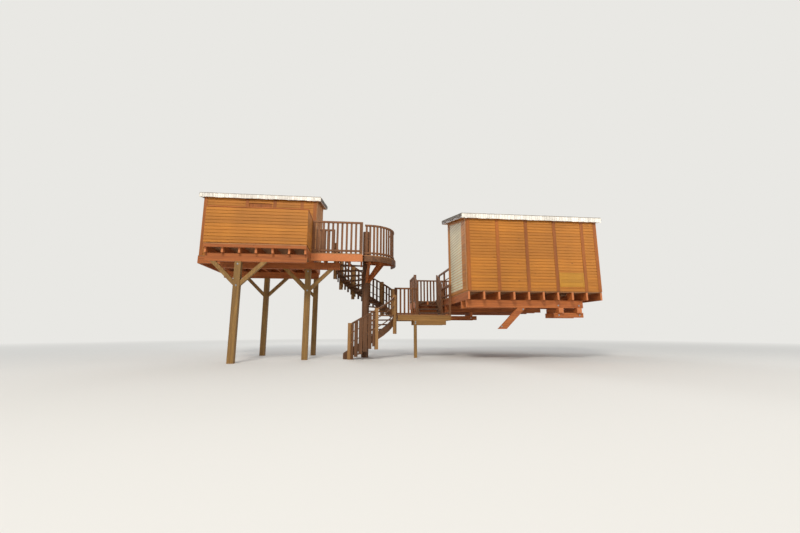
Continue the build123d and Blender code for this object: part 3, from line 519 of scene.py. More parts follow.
def ease(piece, width):
    """Adds a small bevel on the sharp edges of a piece."""
    bevel = piece.modifiers.new("Eased edges", "BEVEL")
    bevel.width = width
    bevel.segments = 1
    bevel.limit_method = "ANGLE"
    bevel.angle_limit = math.radians(40)


def corners(node):
    """Low and high corners of a framed node's box."""
    low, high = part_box(node)
    return Vector(low), Vector(high)


def layer(face, side, first, second):
    """The near and far place of a layer between two depths before a face."""
    return sorted((face + side * first, face + side * second))


def add_piece(name, shape, finish_name, replaces=(), edge=None):
    """Makes an object from a bmesh, gives it its finish and lets it ride on the house."""
    mesh = bpy.data.meshes.new(name)
    bmesh.ops.recalc_face_normals(shape, faces=shape.faces)
    shape.to_mesh(mesh)
    shape.free()
    piece = bpy.data.objects.new(name, mesh)
    bpy.context.scene.collection.objects.link(piece)
    mesh.materials.append(finish(finish_name))
    if edge:
        ease(piece, edge)
    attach(piece, ROOT)
    if replaces:
        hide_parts(*replaces)


def plank(shape, low, high, turn=None):
    """Adds a squared board between two corners, turned by a matrix if one is given."""
    centre = (Vector(low) + Vector(high)) / 2
    size = Vector(high) - Vector(low)
    matrix = Matrix.Translation(centre) @ Matrix.Diagonal((*size, 1))
    if turn:
        matrix = turn @ matrix
    bmesh.ops.create_cube(shape, size=1, matrix=matrix)


def node_shape(node):
    """A copy of a framed node's mesh that can be cut."""
    shape = bmesh.new()
    shape.from_mesh(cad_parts[node].data)
    bmesh.ops.remove_doubles(shape, verts=shape.verts, dist=1e-6)
    return shape


def trim(shape, point, normal):
    """Cuts away what lies beyond a plane and closes the cut."""
    everything = shape.verts[:] + shape.edges[:] + shape.faces[:]
    cut = bmesh.ops.bisect_plane(
        shape, geom=everything, dist=1e-7, plane_co=point, plane_no=normal, clear_outer=True
    )
    edges = [item for item in cut["geom_cut"] if isinstance(item, bmesh.types.BMEdge)]
    open_edges = [edge for edge in edges if edge.is_boundary]
    if open_edges:
        bmesh.ops.triangle_fill(shape, use_beauty=True, use_dissolve=False, edges=open_edges, normal=normal)


def take_in(shape, part):
    """Moves the geometry of one bmesh into another."""
    if part.faces:
        holder = bpy.data.meshes.new("part")
        part.to_mesh(holder)
        shape.from_mesh(holder)
        bpy.data.meshes.remove(holder)
    part.free()


def along_axis(axis, length=1.0):
    """A vector along X, Y or Z, which are numbered from 0."""
    return Vector([length if place == axis else 0.0 for place in range(3)])


def sawn_into_boards(source, axis, pitch, gap, start, stop):
    """Cuts a shape into boards across an axis, with an open joint between them."""
    joined = bmesh.new()
    direction = along_axis(axis)
    count = max(1, round((stop - start) / pitch))
    step = (stop - start) / count
    for row in range(count):
        board = source.copy()
        trim(board, direction * (start + (row + 1) * step - gap / 2), direction)
        trim(board, direction * (start + row * step + gap / 2), -direction)
        bmesh.ops.remove_doubles(board, verts=board.verts, dist=1e-5)
        bmesh.ops.dissolve_limit(board, angle_limit=0.01, verts=board.verts, edges=board.edges)
        bmesh.ops.connect_verts_concave(board, faces=board.faces)
        take_in(joined, board)
    source.free()
    return joined


def outer_skin(node, axis, side, depth):
    """A thin layer on one face of a wall, with the wall's own openings."""
    low, high = corners(node)
    direction = along_axis(axis, side)
    shape = node_shape(node)
    bmesh.ops.translate(shape, verts=shape.verts, vec=direction * depth)
    trim(shape, along_axis(axis, (high if side > 0 else low)[axis]), -direction)
    return shape


DECKS = ("lower_deck", "walkway_deck", "gallery_deck", "upper_deck")
# The axis that each wall faces along, and the side that is its outer face
OUTER_WALLS = {
    "front_wall": (1, -1),
    "back_wall": (1, 1),
    "left_wall": (0, -1),
    "right_wall": (0, 1),
}


def lay_cladding(prefix):
    """Horizontal boards on every outer face of one cabin."""
    sizes = settings()[0]
    base = corners(f"{prefix}_front_wall")[0].z
    top = corners(f"{prefix}_back_wall")[1].z
    for wall, (axis, side) in OUTER_WALLS.items():
        node = f"{prefix}_{wall}"
        skin = outer_skin(node, axis, side, sizes.cladding_depth)
        boards = sawn_into_boards(skin, 2, sizes.cladding_pitch, sizes.cladding_joint, base, top)
        along = "cladding_y" if axis == 0 else "cladding_x"
        add_piece(f"{prefix}_{wall}_boards", boards, along, edge=0.002)


def lay_corner_boards(prefix):
    """Upright boards that cover the ends of the cladding on the side walls."""
    front_low, front_high = corners(f"{prefix}_front_wall")
    back_low, back_high = corners(f"{prefix}_back_wall")
    proud = 6 * MM
    back_width = 0.09
    depth = settings()[0].cladding_depth + proud
    wall_head = front_high.z - (front_high.y - front_low.y) * SLOPE
    above_roof = back_high.z + 0.2
    shape = bmesh.new()
    for side, face in ((-1, front_low.x), (1, front_high.x)):
        for near, far in ((front_low.y, front_high.y), (back_low.y, back_high.y)):
            low_x, high_x = layer(face, side, 0, depth)
            board = bmesh.new()
            plank(board, (low_x, near, front_low.z), (high_x, far, above_roof))
            trim(board, Vector((0, front_low.y, wall_head)), ROOF_NORMAL)
            take_in(shape, board)
    behind, under_roof = back_high.y + 0.001, back_high.z - 0.004
    for near, far in (
        (front_low.x - depth, front_low.x + back_width),
        (front_high.x - back_width, front_high.x + depth),
    ):
        plank(shape, (near, behind, front_low.z), (far, back_high.y + depth, under_roof))
    add_piece(f"{prefix}_corner_boards", shape, "corner", edge=0.003)


def lay_balcony_boards():
    """Horizontal boards outside the balcony's closed rails, with a flat cap along their tops."""
    sizes = settings()[0]
    low, high = corners("balcony_rails")
    touch, clearance = 0.001, 0.004
    wall = corners("upper_battens")[0].y - clearance
    bridge = corners("bridge_rails")[0].y - clearance
    depth = sizes.cladding_depth
    gap_below = 0.02
    faces = (
        ((low.x - depth, low.y - depth), (high.x + depth, low.y - touch)),
        ((low.x - depth, low.y), (low.x - touch, wall)),
        ((high.x + touch, low.y), (high.x + depth, bridge)),
    )
    for place, (near, far) in enumerate(faces):
        shape = bmesh.new()
        plank(shape, (*near, low.z + gap_below), (*far, high.z))
        boards = sawn_into_boards(shape, 2, sizes.cladding_pitch, sizes.cladding_joint, low.z, high.z)
        along = "cladding_y" if place else "cladding_x"
        add_piece(f"balcony_boards_{place}", boards, along, edge=0.002)
    caps = bmesh.new()
    # The cap reaches further in than out, and its boards meet at the corners
    outer, inner = 0.03, 0.075
    base, head = high.z + touch, high.z + 0.027
    behind = low.y + inner + 0.002
    plank(caps, (low.x - outer, low.y - outer, base), (high.x + outer, low.y + inner, head))
    plank(caps, (low.x - outer, behind, base), (low.x + inner, wall, head))
    plank(caps, (high.x - inner, behind, base), (high.x + outer, bridge, head))
    add_piece("balcony_caps", caps, "frame_x", edge=0.004)


def lay_decks():
    """Separate deck boards with open gaps in place of each deck slab."""
    sizes = settings()[0]
    for node in DECKS:
        low, high = corners(node)
        boards = sawn_into_boards(node_shape(node), 1, sizes.deck_pitch, sizes.deck_gap, low.y, high.y)
        add_piece(f"{node}_boards", boards, "deck", replaces=(node,), edge=0.003)


def lay_side_panel():
    """Pale boards in the recess of the side panel, cut to the slope of its head."""
    sizes = settings()[0]
    low, high = corners("side_panel")
    rim, clearance = 0.06, 0.002
    recess = low.x + 0.012
    # Thin boards keep the joints open to the eye, which meets the panel almost edge on
    face = recess - 0.005
    inset = rim + clearance
    shape = bmesh.new()
    plank(shape, (face, low.y + inset, low.z + inset), (recess, high.y - inset, high.z))
    trim(shape, Vector((0, high.y, high.z - rim)), ROOF_NORMAL)
    boards = sawn_into_boards(shape, 2, sizes.panel_pitch, sizes.panel_joint, low.z + rim, high.z - rim)
    add_piece("side_panel_boards", boards, "panel", edge=0.002)


def lay_shutter(prefix):
    """Flush boards in a thin frame on the face of a shutter."""
    low, high = corners(f"{prefix}_shutter")
    front = low.y
    rim, touch = 0.045, 0.001
    board_depth, frame_depth = 0.01, 0.014
    board_pitch, joint = 0.095, 0.004
    shape = bmesh.new()
    plank(shape, (low.x + rim, front - board_depth, low.z + rim), (high.x - rim, front, high.z - rim))
    boards = sawn_into_boards(shape, 2, board_pitch, joint, low.z + rim, high.z - rim)
    add_piece(f"{prefix}_shutter_boards", boards, "shutter", edge=0.002)
    border = bmesh.new()
    face = front - frame_depth
    for near, far in ((low.z, low.z + rim), (high.z - rim, high.z)):
        plank(border, (low.x, face, near), (high.x, front, far))
    for near, far in ((low.x, low.x + rim), (high.x - rim, high.x)):
        plank(border, (near, face, low.z + rim + touch), (far, front, high.z - rim - touch))
    add_piece(f"{prefix}_shutter_frame", border, "shutter", edge=0.003)


# The stair's steps and the boards on its rail, in metres and degrees
STEP_RISE = 0.165
STEP_ANGLE = 15
HANDRAIL_ABOVE = 0.94
BOARD_FOOT_BELOW = 0.2
STAIR_BOARD_WIDTH = 0.12
STAIR_BOARD_THICKNESS = 0.026


def lay_stair_boards():
    """Wider boards over the framed ones in the first bay of the stair rail."""
    middle = stair_middle()
    shape = bmesh.new()
    first, last = NEWEL_ANGLES["lower_stair_rail"][:2]
    half_width, half_depth = STAIR_BOARD_WIDTH / 2, STAIR_BOARD_THICKNESS / 2
    # The boards stand in the middle of short chords, two to each step
    flat_radius = NEWEL_RADIUS * math.cos(math.radians(STEP_ANGLE / 2))
    radius = flat_radius / math.cos(math.radians(STEP_ANGLE / 4))
    for board in range(round(2 * (last - first) / STEP_ANGLE)):
        steps = (board + 0.5) / 2
        angle = first + steps * STEP_ANGLE
        walking_line = STEP_RISE * (1 + steps)
        foot = max(0.0, walking_line - BOARD_FOOT_BELOW)
        head = walking_line + HANDRAIL_ABOVE
        turn = Matrix.Translation((middle.x, middle.y, 0)) @ Matrix.Rotation(math.radians(angle), 4, "Z")
        plank(shape, (radius - half_depth, -half_width, foot), (radius + half_depth, half_width, head), turn)
    add_piece("stair_rail_boards", shape, "stair_z", edge=0.002)


# Depths of a door's layers before its face, in metres
DOOR_BOARD_DEPTH = 0.012
LEDGE_DEPTH = 0.009
STRAP_DEPTH = 0.004
DOOR_JOINT = 0.004
# Heights of the ledges as shares of the door's height; the first and the last carry strap hinges
LEDGE_PLACES = (0.12, 0.5, 0.88)


def lay_door(prefix, outward):
    """Upright boards, ledges, strap hinges and a pull handle on a door's outer face."""
    low, high = corners(f"{prefix}_door")
    face = high.y if outward > 0 else low.y
    near, far = layer(face, outward, 0, DOOR_BOARD_DEPTH)
    left, right = low.x + DOOR_JOINT, high.x - DOOR_JOINT
    shape = bmesh.new()
    plank(shape, (left, near, low.z + 0.01), (right, far, high.z - DOOR_JOINT))
    boards = sawn_into_boards(shape, 0, settings()[0].door_pitch, DOOR_JOINT, left, right)
    add_piece(f"{prefix}_door_boards", boards, "door", edge=0.002)
    if outward > 0:
        lay_door_casing(prefix, low, high)
    heights = [low.z + (high.z - low.z) * share for share in LEDGE_PLACES]
    near, far = layer(face, outward, DOOR_BOARD_DEPTH, DOOR_BOARD_DEPTH + LEDGE_DEPTH)
    ledges = bmesh.new()
    half_ledge, inset = 0.06, 0.03
    for middle in heights:
        plank(ledges, (low.x + inset, near, middle - half_ledge), (high.x - inset, far, middle + half_ledge))
    add_piece(f"{prefix}_door_ledges", ledges, "door", edge=0.003)
    fittings = bmesh.new()
    strap_face = DOOR_BOARD_DEPTH + LEDGE_DEPTH
    near, far = layer(face, outward, strap_face, strap_face + STRAP_DEPTH)
    front = far if outward > 0 else near
    strap_start, strap_length, half_strap = low.x + 0.01, 0.41, 0.02
    for middle in (heights[0], heights[-1]):
        plank(
            fittings,
            (strap_start, near, middle - half_strap),
            (strap_start + strap_length, far, middle + half_strap),
        )
        for screw in range(4):
            add_disc(fittings, (low.x + 0.06 + screw * 0.1, front, middle), radius=0.008, height=0.004, sides=12)
    add_handle(fittings, face, outward, Vector((high.x - 0.09, face, low.z + 1.0)))
    add_piece(f"{prefix}_door_fittings", fittings, "zinc", edge=0.001)


def lay_door_casing(prefix, low, high):
    """Flat boards on the back wall, round both sides and the head of a door."""
    wall = corners(f"{prefix}_back_wall")[1].y
    near, far = wall + 0.001, wall + 0.021
    gap, width, overhang, head_height = 0.005, 0.07, 0.09, 0.08
    casing = bmesh.new()
    for start in (low.x - gap - width, high.x + gap):
        plank(casing, (start, near, low.z), (start + width, far, high.z + gap))
    head = high.z + gap + 0.001
    plank(casing, (low.x - overhang, near, head), (high.x + overhang, far, head + head_height))
    add_piece(f"{prefix}_door_casing", casing, "corner", edge=0.003)


def add_handle(shape, face, outward, centre):
    """Adds a pull handle: two feet that carry an upright bar."""
    foot_near, foot_far = layer(face, outward, DOOR_BOARD_DEPTH, DOOR_BOARD_DEPTH + 0.045)
    bar_near, bar_far = layer(face, outward, DOOR_BOARD_DEPTH + 0.035, DOOR_BOARD_DEPTH + 0.05)
    reach, half_foot, half_foot_height, half_bar, half_bar_height = 0.09, 0.009, 0.012, 0.011, 0.12
    for foot in (centre.z - reach, centre.z + reach):
        plank(
            shape,
            (centre.x - half_foot, foot_near, foot - half_foot_height),
            (centre.x + half_foot, foot_far, foot + half_foot_height),
        )
    plank(
        shape,
        (centre.x - half_bar, bar_near, centre.z - half_bar_height),
        (centre.x + half_bar, bar_far, centre.z + half_bar_height),
    )


ACROSS_FRONT = Matrix.Rotation(math.pi / 2, 4, "X")


def add_disc(shape, centre, radius, height, sides):
    """Adds a short cylinder or a prism on a face that looks along Y."""
    bmesh.ops.create_cone(
        shape,
        cap_ends=True,
        cap_tris=False,
        segments=sides,
        radius1=radius,
        radius2=radius,
        depth=height,
        matrix=Matrix.Translation(Vector(centre)) @ ACROSS_FRONT,
    )


def add_bolt(shape, x, y, z):
    """Adds a round washer with a six-sided head on a timber's face."""
    width = settings()[0].bolt_width
    add_disc(shape, (x, y, z), radius=width * 0.85, height=0.006, sides=20)
    add_disc(shape, (x, y, z), radius=width / 2, height=0.03, sides=6)


def add_prism(shape, outline, low_x, high_x):
    """Adds a closed piece with the same side outline at two places along X."""
    near = [shape.verts.new((low_x, y, z)) for y, z in outline]
    far = [shape.verts.new((high_x, y, z)) for y, z in outline]
    shape.faces.new(near[::-1])
    shape.faces.new(far)
    for place, vert in enumerate(near):
        onward = (place + 1) % len(near)
        shape.faces.new((vert, near[onward], far[onward], far[place]))


# Widths in a row as shares of the mean width: the narrowest, the widest and the least rest at its end
NARROWEST, WIDEST, LEAST_REST = 0.6, 1.4, 0.3
SMALLEST_OFFCUT = 2 * MM
# A course reaches this many courses up the roof
SHINGLE_LAP = 1.9
# Range of a shingle's thickness at its butt, and its thickness at its tip, above the roof's boards
BUTT_THICKNESS = (0.019, 0.0245)
TIP_THICKNESS = 0.007
SHINGLE_JOINT = 0.004


def uneven_row(rng, low, high, width):
    """Ends of pieces of uneven width laid side by side from low to high."""
    place = low
    while place < high - 1e-4:
        end = min(high, place + width * rng.uniform(NARROWEST, WIDEST))
        if high - end < LEAST_REST * width:
            end = high
        yield place, end
        place = end


def add_shingle(shape, butt, tip, low_x, high_x, passage):
    """Adds one shingle from its thick butt to its thin tip, each given as Y, underside and top.

    A shingle that meets the roof passage is sawn off round it.
    """

    def outline_point(y):
        share = (y - butt[0]) / (tip[0] - butt[0])
        return [near + (far - near) * share for near, far in zip(butt, tip)]

    parts = [(low_x, high_x, butt[0], tip[0])]
    if passage:
        (left, front), (right, back) = passage
        if low_x < right and high_x > left and butt[0] < back and tip[0] > front:
            inner_left, inner_right = max(low_x, left), min(high_x, right)
            parts = [
                (low_x, min(high_x, left), butt[0], tip[0]),
                (max(low_x, right), high_x, butt[0], tip[0]),
                (inner_left, inner_right, butt[0], min(tip[0], front)),
                (inner_left, inner_right, max(butt[0], back), tip[0]),
            ]
    for part_left, part_right, part_front, part_back in parts:
        if part_right - part_left > SMALLEST_OFFCUT and part_back - part_front > SMALLEST_OFFCUT:
            near, near_low, near_high = outline_point(part_front)
            far, far_low, far_high = outline_point(part_back)
            outline = [(far, far_low), (far, far_high), (near, near_high), (near, near_low)]
            add_prism(shape, outline, part_left, part_right)


def lay_shingles(prefix):
    """Courses of split shingles that overlap up the roof slope."""
    sizes = settings()[0]
    rng = random.Random(sizes.seed + len(prefix))
    node = f"{prefix}_roof_covering"
    low, high = corners(node)
    rows = max(1, round((high.y - low.y) / sizes.shingle_row))
    step = (high.y - low.y) / rows
    passage = roof_passage(prefix)
    lift, half_joint = 0.001, SHINGLE_JOINT / 2
    shape = bmesh.new()
    for row in range(rows):
        near = low.y + row * step
        far = min(high.y, near + SHINGLE_LAP * step)
        # The first shingle of every other course is wider, so that the joints don't line up
        first = low.x + sizes.shingle_width * (0.15 + 0.5 * (row % 2))
        joints = [(low.x, first), *uneven_row(rng, first, high.x, sizes.shingle_width)]
        for start, end in joints:
            butt = near + (rng.uniform(0, 0.012) if row else 0)
            rise = low.z + (butt - low.y) * SLOPE
            tip = low.z + (far - low.y) * SLOPE
            thick_end = (butt, rise + lift, rise + rng.uniform(*BUTT_THICKNESS))
            thin_end = (far, tip + lift, tip + TIP_THICKNESS)
            add_shingle(shape, thick_end, thin_end, start + half_joint, end - half_joint, passage)
    add_piece(f"{prefix}_shingles", shape, "shingle", replaces=(node,))


# Added to the seed, so that the slips don't repeat the shingles' widths
SLIP_SEED = 40
# Slips along the eaves and the verges, in metres: mean width, ranges of drop and of depth, and their joint
EAVES_WIDTH, EAVES_DROP, EAVES_DEPTH, EAVES_JOINT = 0.075, (0.128, 0.152), (0.007, 0.01), 0.003
VERGE_WIDTH, VERGE_DROP, VERGE_DEPTH, VERGE_JOINT = 0.13, (0.05, 0.125), (0.007, 0.012), 0.004


def lay_eaves(prefix):
    """Pale upright slips with uneven lower ends along the front eaves, and dark slips along both verges."""
    sizes = settings()[0]
    rng = random.Random(sizes.seed + SLIP_SEED + len(prefix))
    low, high = corners(f"{prefix}_fascias")
    front_top = corners(f"{prefix}_roof_covering")[0].z
    under_shingles = front_top - 0.002
    slips = bmesh.new()
    for start, end in uneven_row(rng, low.x, high.x, EAVES_WIDTH):
        start, end = start + EAVES_JOINT / 2, end - EAVES_JOINT / 2
        foot = front_top - rng.uniform(*EAVES_DROP)
        plank(slips, (start, low.y - rng.uniform(*EAVES_DEPTH), foot), (end, low.y, under_shingles))
    add_piece(f"{prefix}_eaves_slips", slips, "eaves", edge=0.0015)
    edging = bmesh.new()
    for face, side in ((low.x, -1), (high.x, 1)):
        for start, end in uneven_row(rng, low.y, high.y, VERGE_WIDTH):
            low_x, high_x = layer(face, side, 0, rng.uniform(*VERGE_DEPTH))
            head = front_top + (start - low.y) * SLOPE
            tail = front_top + (end - low.y) * SLOPE
            drop = rng.uniform(*VERGE_DROP)
            start, end = start + VERGE_JOINT / 2, end - VERGE_JOINT / 2
            outline = [(start, head - drop), (end, tail - drop), (end, tail), (start, head)]
            add_prism(edging, outline, low_x, high_x)
    add_piece(f"{prefix}_verge_slips", edging, "shingle")


PASSAGE_WIDTH = 0.46


def roof_passage(prefix):
    """Two corners of the square passage that the lower cabin leaves through its floor and roof."""
    if prefix != "lower":
        return None
    blocks, beams = corners("front_yoke_blocks"), corners("front_yoke_beams")
    middle = Vector(((blocks[0].x + blocks[1].x) / 2, (beams[0].y + beams[1].y) / 2))
    half = Vector((PASSAGE_WIDTH / 2, PASSAGE_WIDTH / 2))
    return middle - half, middle + half


# How far the yokes' bolts stand in from the ends of their blocks, in metres as all that follows
BLOCK_BOLT_INSET = 0.04
# Heights of the bolts above the lower edge of the bearers, and above the top of the walkway's post
BEARER_BOLT = 0.08
WALKWAY_BOLTS = (0.05, 0.11)
# Y of the walkway bearer's front face, over the post
WALKWAY_BEARER_FACE = -0.05
# Places of the knee brace's bolts in from its head and its foot, along X and Z
KNEE_HEAD_BOLT = (0.09, 0.05)
KNEE_FOOT_BOLT = (0.11, 0.08)
# The right post of the upper cabin's front stands further back than the left one
RIGHT_POST_FACE = -0.58
POST_WIDTH = 0.18
# Drops of the bolts below the top of a post: through the main beam and at the foot of the braces
POST_BOLTS = (0.08, 0.72)


def lay_bolts():
    """Bolts through the yokes, the bearers, the knee brace, the walkway's bearers and the front posts."""
    shape = bmesh.new()
    for side in ("front", "back"):
        beams, blocks = corners(f"{side}_yoke_beams"), corners(f"{side}_yoke_blocks")
        for x in (blocks[0].x + BLOCK_BOLT_INSET, blocks[1].x - BLOCK_BOLT_INSET):
            for y in (beams[0].y, beams[1].y):
                add_bolt(shape, x, y, (beams[0].z + beams[1].z) / 2)
            if side == "front":
                add_bolt(shape, x, beams[0].y, corners("lower_bearers")[0].z + BEARER_BOLT)
    low, high = corners("knee_brace")
    add_bolt(shape, high.x - KNEE_HEAD_BOLT[0], low.y, high.z - KNEE_HEAD_BOLT[1])
    add_bolt(shape, low.x + KNEE_FOOT_BOLT[0], low.y, low.z + KNEE_FOOT_BOLT[1])
    post_top = corners("walkway_post")[1].z
    for height in WALKWAY_BOLTS:
        add_bolt(shape, 0.0, WALKWAY_BEARER_FACE, post_top + height)
    low, high = corners("upper_posts")
    for x, y in ((low.x + POST_WIDTH / 2, low.y), (high.x - POST_WIDTH / 2, RIGHT_POST_FACE)):
        for drop in POST_BOLTS:
            add_bolt(shape, x, y, high.z - drop)
    add_piece("timber_bolts", shape, "zinc")


# Finish and eased edge of the parts that both cabins have
CABIN_FINISHES = {
    "roof_deck": ("soffit", 0.002),
    "fascias": ("eaves", 0.003),
    "battens": ("batten", 0.004),
    "door": ("door", 0.002),
    "shutter": ("shutter", 0.002),
    "front_wall": ("lining", 0.001),
    "back_wall": ("lining", 0.001),
    "left_wall": ("lining", 0.001),
    "right_wall": ("lining", 0.001),
    "roof_covering": ("shingle", 0.001),
}
TIMBER_FINISHES = {
    "side_panel": "corner",
    "lower_joists": "frame_y",
    "lower_rims": "frame_y",
    "lower_bearers": "frame_x",
    "front_yoke_blocks": "frame_y",
    "front_yoke_beams": "frame_x",
    "back_yoke_blocks": "frame_y",
    "back_yoke_beams": "frame_x",
    "knee_brace": "frame_x",
    "terrace_rails": "rail",
    "walkway_frame": "walkway",
    "walkway_bearers": "walkway",
    "walkway_post": "post",
    "walkway_rails": "rail",
    "step_treads": "stair_x",
    "step_stringers": "stair_z",
    "step_rails": "rail",
    "stair_centre_post": "stair_z",
    "lower_treads": "stair_x",
    "upper_treads": "stair_x",
    "lower_stringer": "stair_x",
    "upper_stringer": "stair_x",
    "lower_stair_rail": "lower_newels",
    "upper_stair_rail": "upper_newels",
    "gallery_rim": "stair_x",
    "gallery_brackets": "frame_x",
    "gallery_rail": "rail",
    "bridge_joists": "frame_y",
    "bridge_rails": "rail",
    "upper_joists": "frame_y",
    "upper_rims": "frame_x",
    "main_beams": "frame_x",
    "upper_posts": "post",
    "fork_braces": "post",
    "balcony_rails": "parapet",
}


def finish_timbers():
    """Gives every framed timber its finish and eased edges."""
    for prefix in CABINS:
        for part, (finish_name, edge) in CABIN_FINISHES.items():
            dress(f"{prefix}_{part}", finish_name, edge)
    for node, finish_name in TIMBER_FINISHES.items():
        dress(node, finish_name)
    for node in DECKS:
        dress(node, "deck", 0.002)


# Place, spot that it points at, power in watts, width in metres and colour of each studio lamp
LAMPS = {
    "key_light": ((-7, -20, 19), (-1, 0, 3), 3800, 6, (1.0, 0.95, 0.87)),
    "side_light": ((16, -12, 9), (1, 0, 3), 820, 9, (1.0, 0.97, 0.93)),
    "back_light": ((-6, 19, 15), (-1, 0, 3), 1350, 9, (0.98, 0.99, 1.0)),
}
# Strength of the even light from all sides
FILL_STRENGTH = 0.52
# How far the floor reaches, and the distances over which it fades into the background
FLOOR_REACH = 220
FADE_START, FADE_END = 10.0, 34.0
# The floor is a little darker than the background, because the lamps light it
FLOOR_SHADE = 0.88


def add_lamp(name, place, spot, power, size, colour):
    """Adds one soft studio lamp that points at a spot."""
    data = bpy.data.lights.new(name, "AREA")
    data.shape = "DISK"
    data.energy = power
    data.size = size
    data.color = colour
    lamp = bpy.data.objects.new(name, data)
    lamp.location = place
    lamp.rotation_euler = (Vector(spot) - Vector(place)).to_track_quat("-Z", "Y").to_euler()
    bpy.context.scene.collection.objects.link(lamp)
    return lamp


def shows_background(tree):
    """One for the rays that see the pale background: straight, mirrored or through glass."""
    light_path = add_node(tree, "ShaderNodeLightPath").outputs
    seen = light_path["Is Camera Ray"]
    for ray in ("Is Glossy Ray", "Is Transmission Ray"):
        seen = add_node(tree, "ShaderNodeMath", {0: seen, 1: light_path[ray]}, operation="MAXIMUM").outputs[0]
    return seen


def backdrop_material(name, colour):
    """Matt pale studio paper that fades into the background far from the house."""
    material, tree, shader = new_material(name)
    shader.inputs["Base Color"].default_value = shaded(colour, FLOOR_SHADE)
    shader.inputs["Roughness"].default_value = 0.9
    place = add_node(tree, "ShaderNodeTexCoord").outputs["Object"]
    reach = add_node(tree, "ShaderNodeVectorMath", {0: place}, operation="LENGTH")
    fade = add_node(
        tree,
        "ShaderNodeMapRange",
        {"Value": reach.outputs["Value"], "From Min": FADE_START, "From Max": FADE_END},
    )
    share = add_node(
        tree, "ShaderNodeMath", {0: fade.outputs[0], 1: shows_background(tree)}, operation="MULTIPLY"
    )
    glow = add_node(tree, "ShaderNodeEmission", {"Color": colour})
    mixed = add_node(
        tree, "ShaderNodeMixShader", {0: share.outputs[0], 1: shader.outputs[0], 2: glow.outputs[0]}
    )
    tree.links.new(mixed.outputs[0], tree.nodes["Material Output"].inputs["Surface"])
    return material


def build_stage():
    """The floor, the lights, the pale background and the camera."""
    backdrop = settings()[1].backdrop
    scene = bpy.context.scene
    shape = bmesh.new()
    bmesh.ops.create_grid(shape, x_segments=1, y_segments=1, size=FLOOR_REACH)
    mesh = bpy.data.meshes.new("studio_floor")
    shape.to_mesh(mesh)
    shape.free()
    mesh.materials.append(backdrop_material("Studio floor", backdrop))
    floor = bpy.data.objects.new("studio_floor", mesh)
    scene.collection.objects.link(floor)
    lamps = [add_lamp(name, *values) for name, values in LAMPS.items()]
    world = bpy.data.worlds.new("Studio background")
    scene.world = world
    world.use_nodes = True
    tree = world.node_tree
    tree.nodes.clear()
    seen = add_node(tree, "ShaderNodeBackground", {"Color": backdrop})
    fill = add_node(
        tree, "ShaderNodeBackground", {"Color": (0.95, 0.97, 1.0, 1.0), "Strength": FILL_STRENGTH}
    )
    mixed = add_node(
        tree, "ShaderNodeMixShader", {0: shows_background(tree), 1: fill.outputs[0], 2: seen.outputs[0]}
    )
    add_node(tree, "ShaderNodeOutputWorld", {"Surface": mixed.outputs[0]})
    lens = bpy.data.cameras.new("photo_camera")
    lens.lens = LENS
    camera = bpy.data.objects.new("photo_camera", lens)
    scene.collection.objects.link(camera)
    pitch = math.radians(PITCH)
    look = HEADING.normalized() * math.cos(pitch) + Vector((0, 0, math.sin(pitch)))
    camera.location = EYE
    camera.rotation_euler = look.to_track_quat("-Z", "Y").to_euler()
    scene.camera = camera
    scene.view_settings.view_transform = "Standard"


class TREEHOUSE_OT_timbers(bpy.types.Operator):
    """Finish the framed timbers with wood and eased edges"""

    bl_idname = "tree_house.timbers"
    bl_label = "Finish timbers"

    def execute(self, context):
        finish_timbers()
        return {"FINISHED"}


class TREEHOUSE_OT_cladding(bpy.types.Operator):
    """Board the outer walls and cover their corners"""

    bl_idname = "tree_house.cladding"
    bl_label = "Board the walls"

    def execute(self, context):
        for prefix in CABINS:
            lay_cladding(prefix)
            lay_corner_boards(prefix)
        lay_balcony_boards()
        return {"FINISHED"}


class TREEHOUSE_OT_decking(bpy.types.Operator):
    """Lay separate deck boards on every platform"""

    bl_idname = "tree_house.decking"
    bl_label = "Lay the decks"

    def execute(self, context):
        lay_decks()
        return {"FINISHED"}


class TREEHOUSE_OT_stair(bpy.types.Operator):
    """Close the first bay of the stair rail with boards"""

    bl_idname = "tree_house.stair"
    bl_label = "Board the stair rail"

    def execute(self, context):
        lay_stair_boards()
        return {"FINISHED"}


class TREEHOUSE_OT_openings(bpy.types.Operator):
    """Make the doors, the shutters and the pale side panel"""

    bl_idname = "tree_house.openings"
    bl_label = "Make doors and shutters"

    def execute(self, context):
        lay_side_panel()
        for prefix in CABINS:
            lay_shutter(prefix)
        lay_door("lower", 1)
        lay_door("upper", -1)
        return {"FINISHED"}


class TREEHOUSE_OT_shingles(bpy.types.Operator):
    """Cover both roofs with shingles and finish their edges"""

    bl_idname = "tree_house.shingles"
    bl_label = "Lay the shingles"

    def execute(self, context):
        for prefix in CABINS:
            lay_shingles(prefix)
            lay_eaves(prefix)
        return {"FINISHED"}


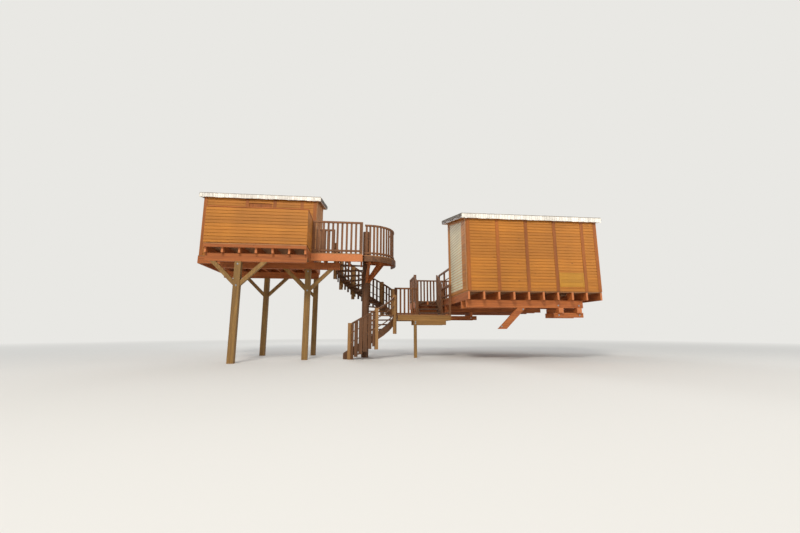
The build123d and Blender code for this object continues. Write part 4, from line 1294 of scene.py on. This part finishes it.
class TREEHOUSE_OT_bolts(bpy.types.Operator):
    """Put bolts and washers through the timber joints"""

    bl_idname = "tree_house.bolts"
    bl_label = "Fit the bolts"

    def execute(self, context):
        lay_bolts()
        return {"FINISHED"}


class TREEHOUSE_OT_stage(bpy.types.Operator):
    """Set up the studio floor, lights, background and camera"""

    bl_idname = "tree_house.stage"
    bl_label = "Set the stage"

    def execute(self, context):
        build_stage()
        return {"FINISHED"}


class TREEHOUSE_PT_panel(bpy.types.Panel):
    """Sizes, colours and steps of the tree house"""

    bl_idname = "TREEHOUSE_PT_panel"
    bl_label = "Tree House"
    bl_space_type = "VIEW_3D"
    bl_region_type = "UI"
    bl_category = "Tree House"

    def draw(self, context):
        layout = self.layout
        for step in STEPS:
            layout.operator(step.bl_idname)
        for group in (context.scene.tree_house_sizes, context.scene.tree_house_colours):
            box = layout.box()
            for key in group.bl_rna.properties.keys():
                if key not in ("rna_type", "name"):
                    box.prop(group, key)


STEPS = (
    TREEHOUSE_OT_timbers,
    TREEHOUSE_OT_cladding,
    TREEHOUSE_OT_decking,
    TREEHOUSE_OT_stair,
    TREEHOUSE_OT_openings,
    TREEHOUSE_OT_shingles,
    TREEHOUSE_OT_bolts,
    TREEHOUSE_OT_stage,
)
CLASSES = (TreeHouseSizes, TreeHouseColours, *STEPS, TREEHOUSE_PT_panel)


def register():
    for kind in CLASSES:
        bpy.utils.register_class(kind)
    bpy.types.Scene.tree_house_sizes = PointerProperty(type=TreeHouseSizes)
    bpy.types.Scene.tree_house_colours = PointerProperty(type=TreeHouseColours)


def unregister():
    del bpy.types.Scene.tree_house_colours
    del bpy.types.Scene.tree_house_sizes
    for kind in reversed(CLASSES):
        bpy.utils.unregister_class(kind)


def main():
    register()
    bpy.ops.tree_house.timbers()
    bpy.ops.tree_house.cladding()
    bpy.ops.tree_house.decking()
    bpy.ops.tree_house.stair()
    bpy.ops.tree_house.openings()
    bpy.ops.tree_house.shingles()
    bpy.ops.tree_house.bolts()
    bpy.ops.tree_house.stage()


if __name__ == "__main__":
    main()
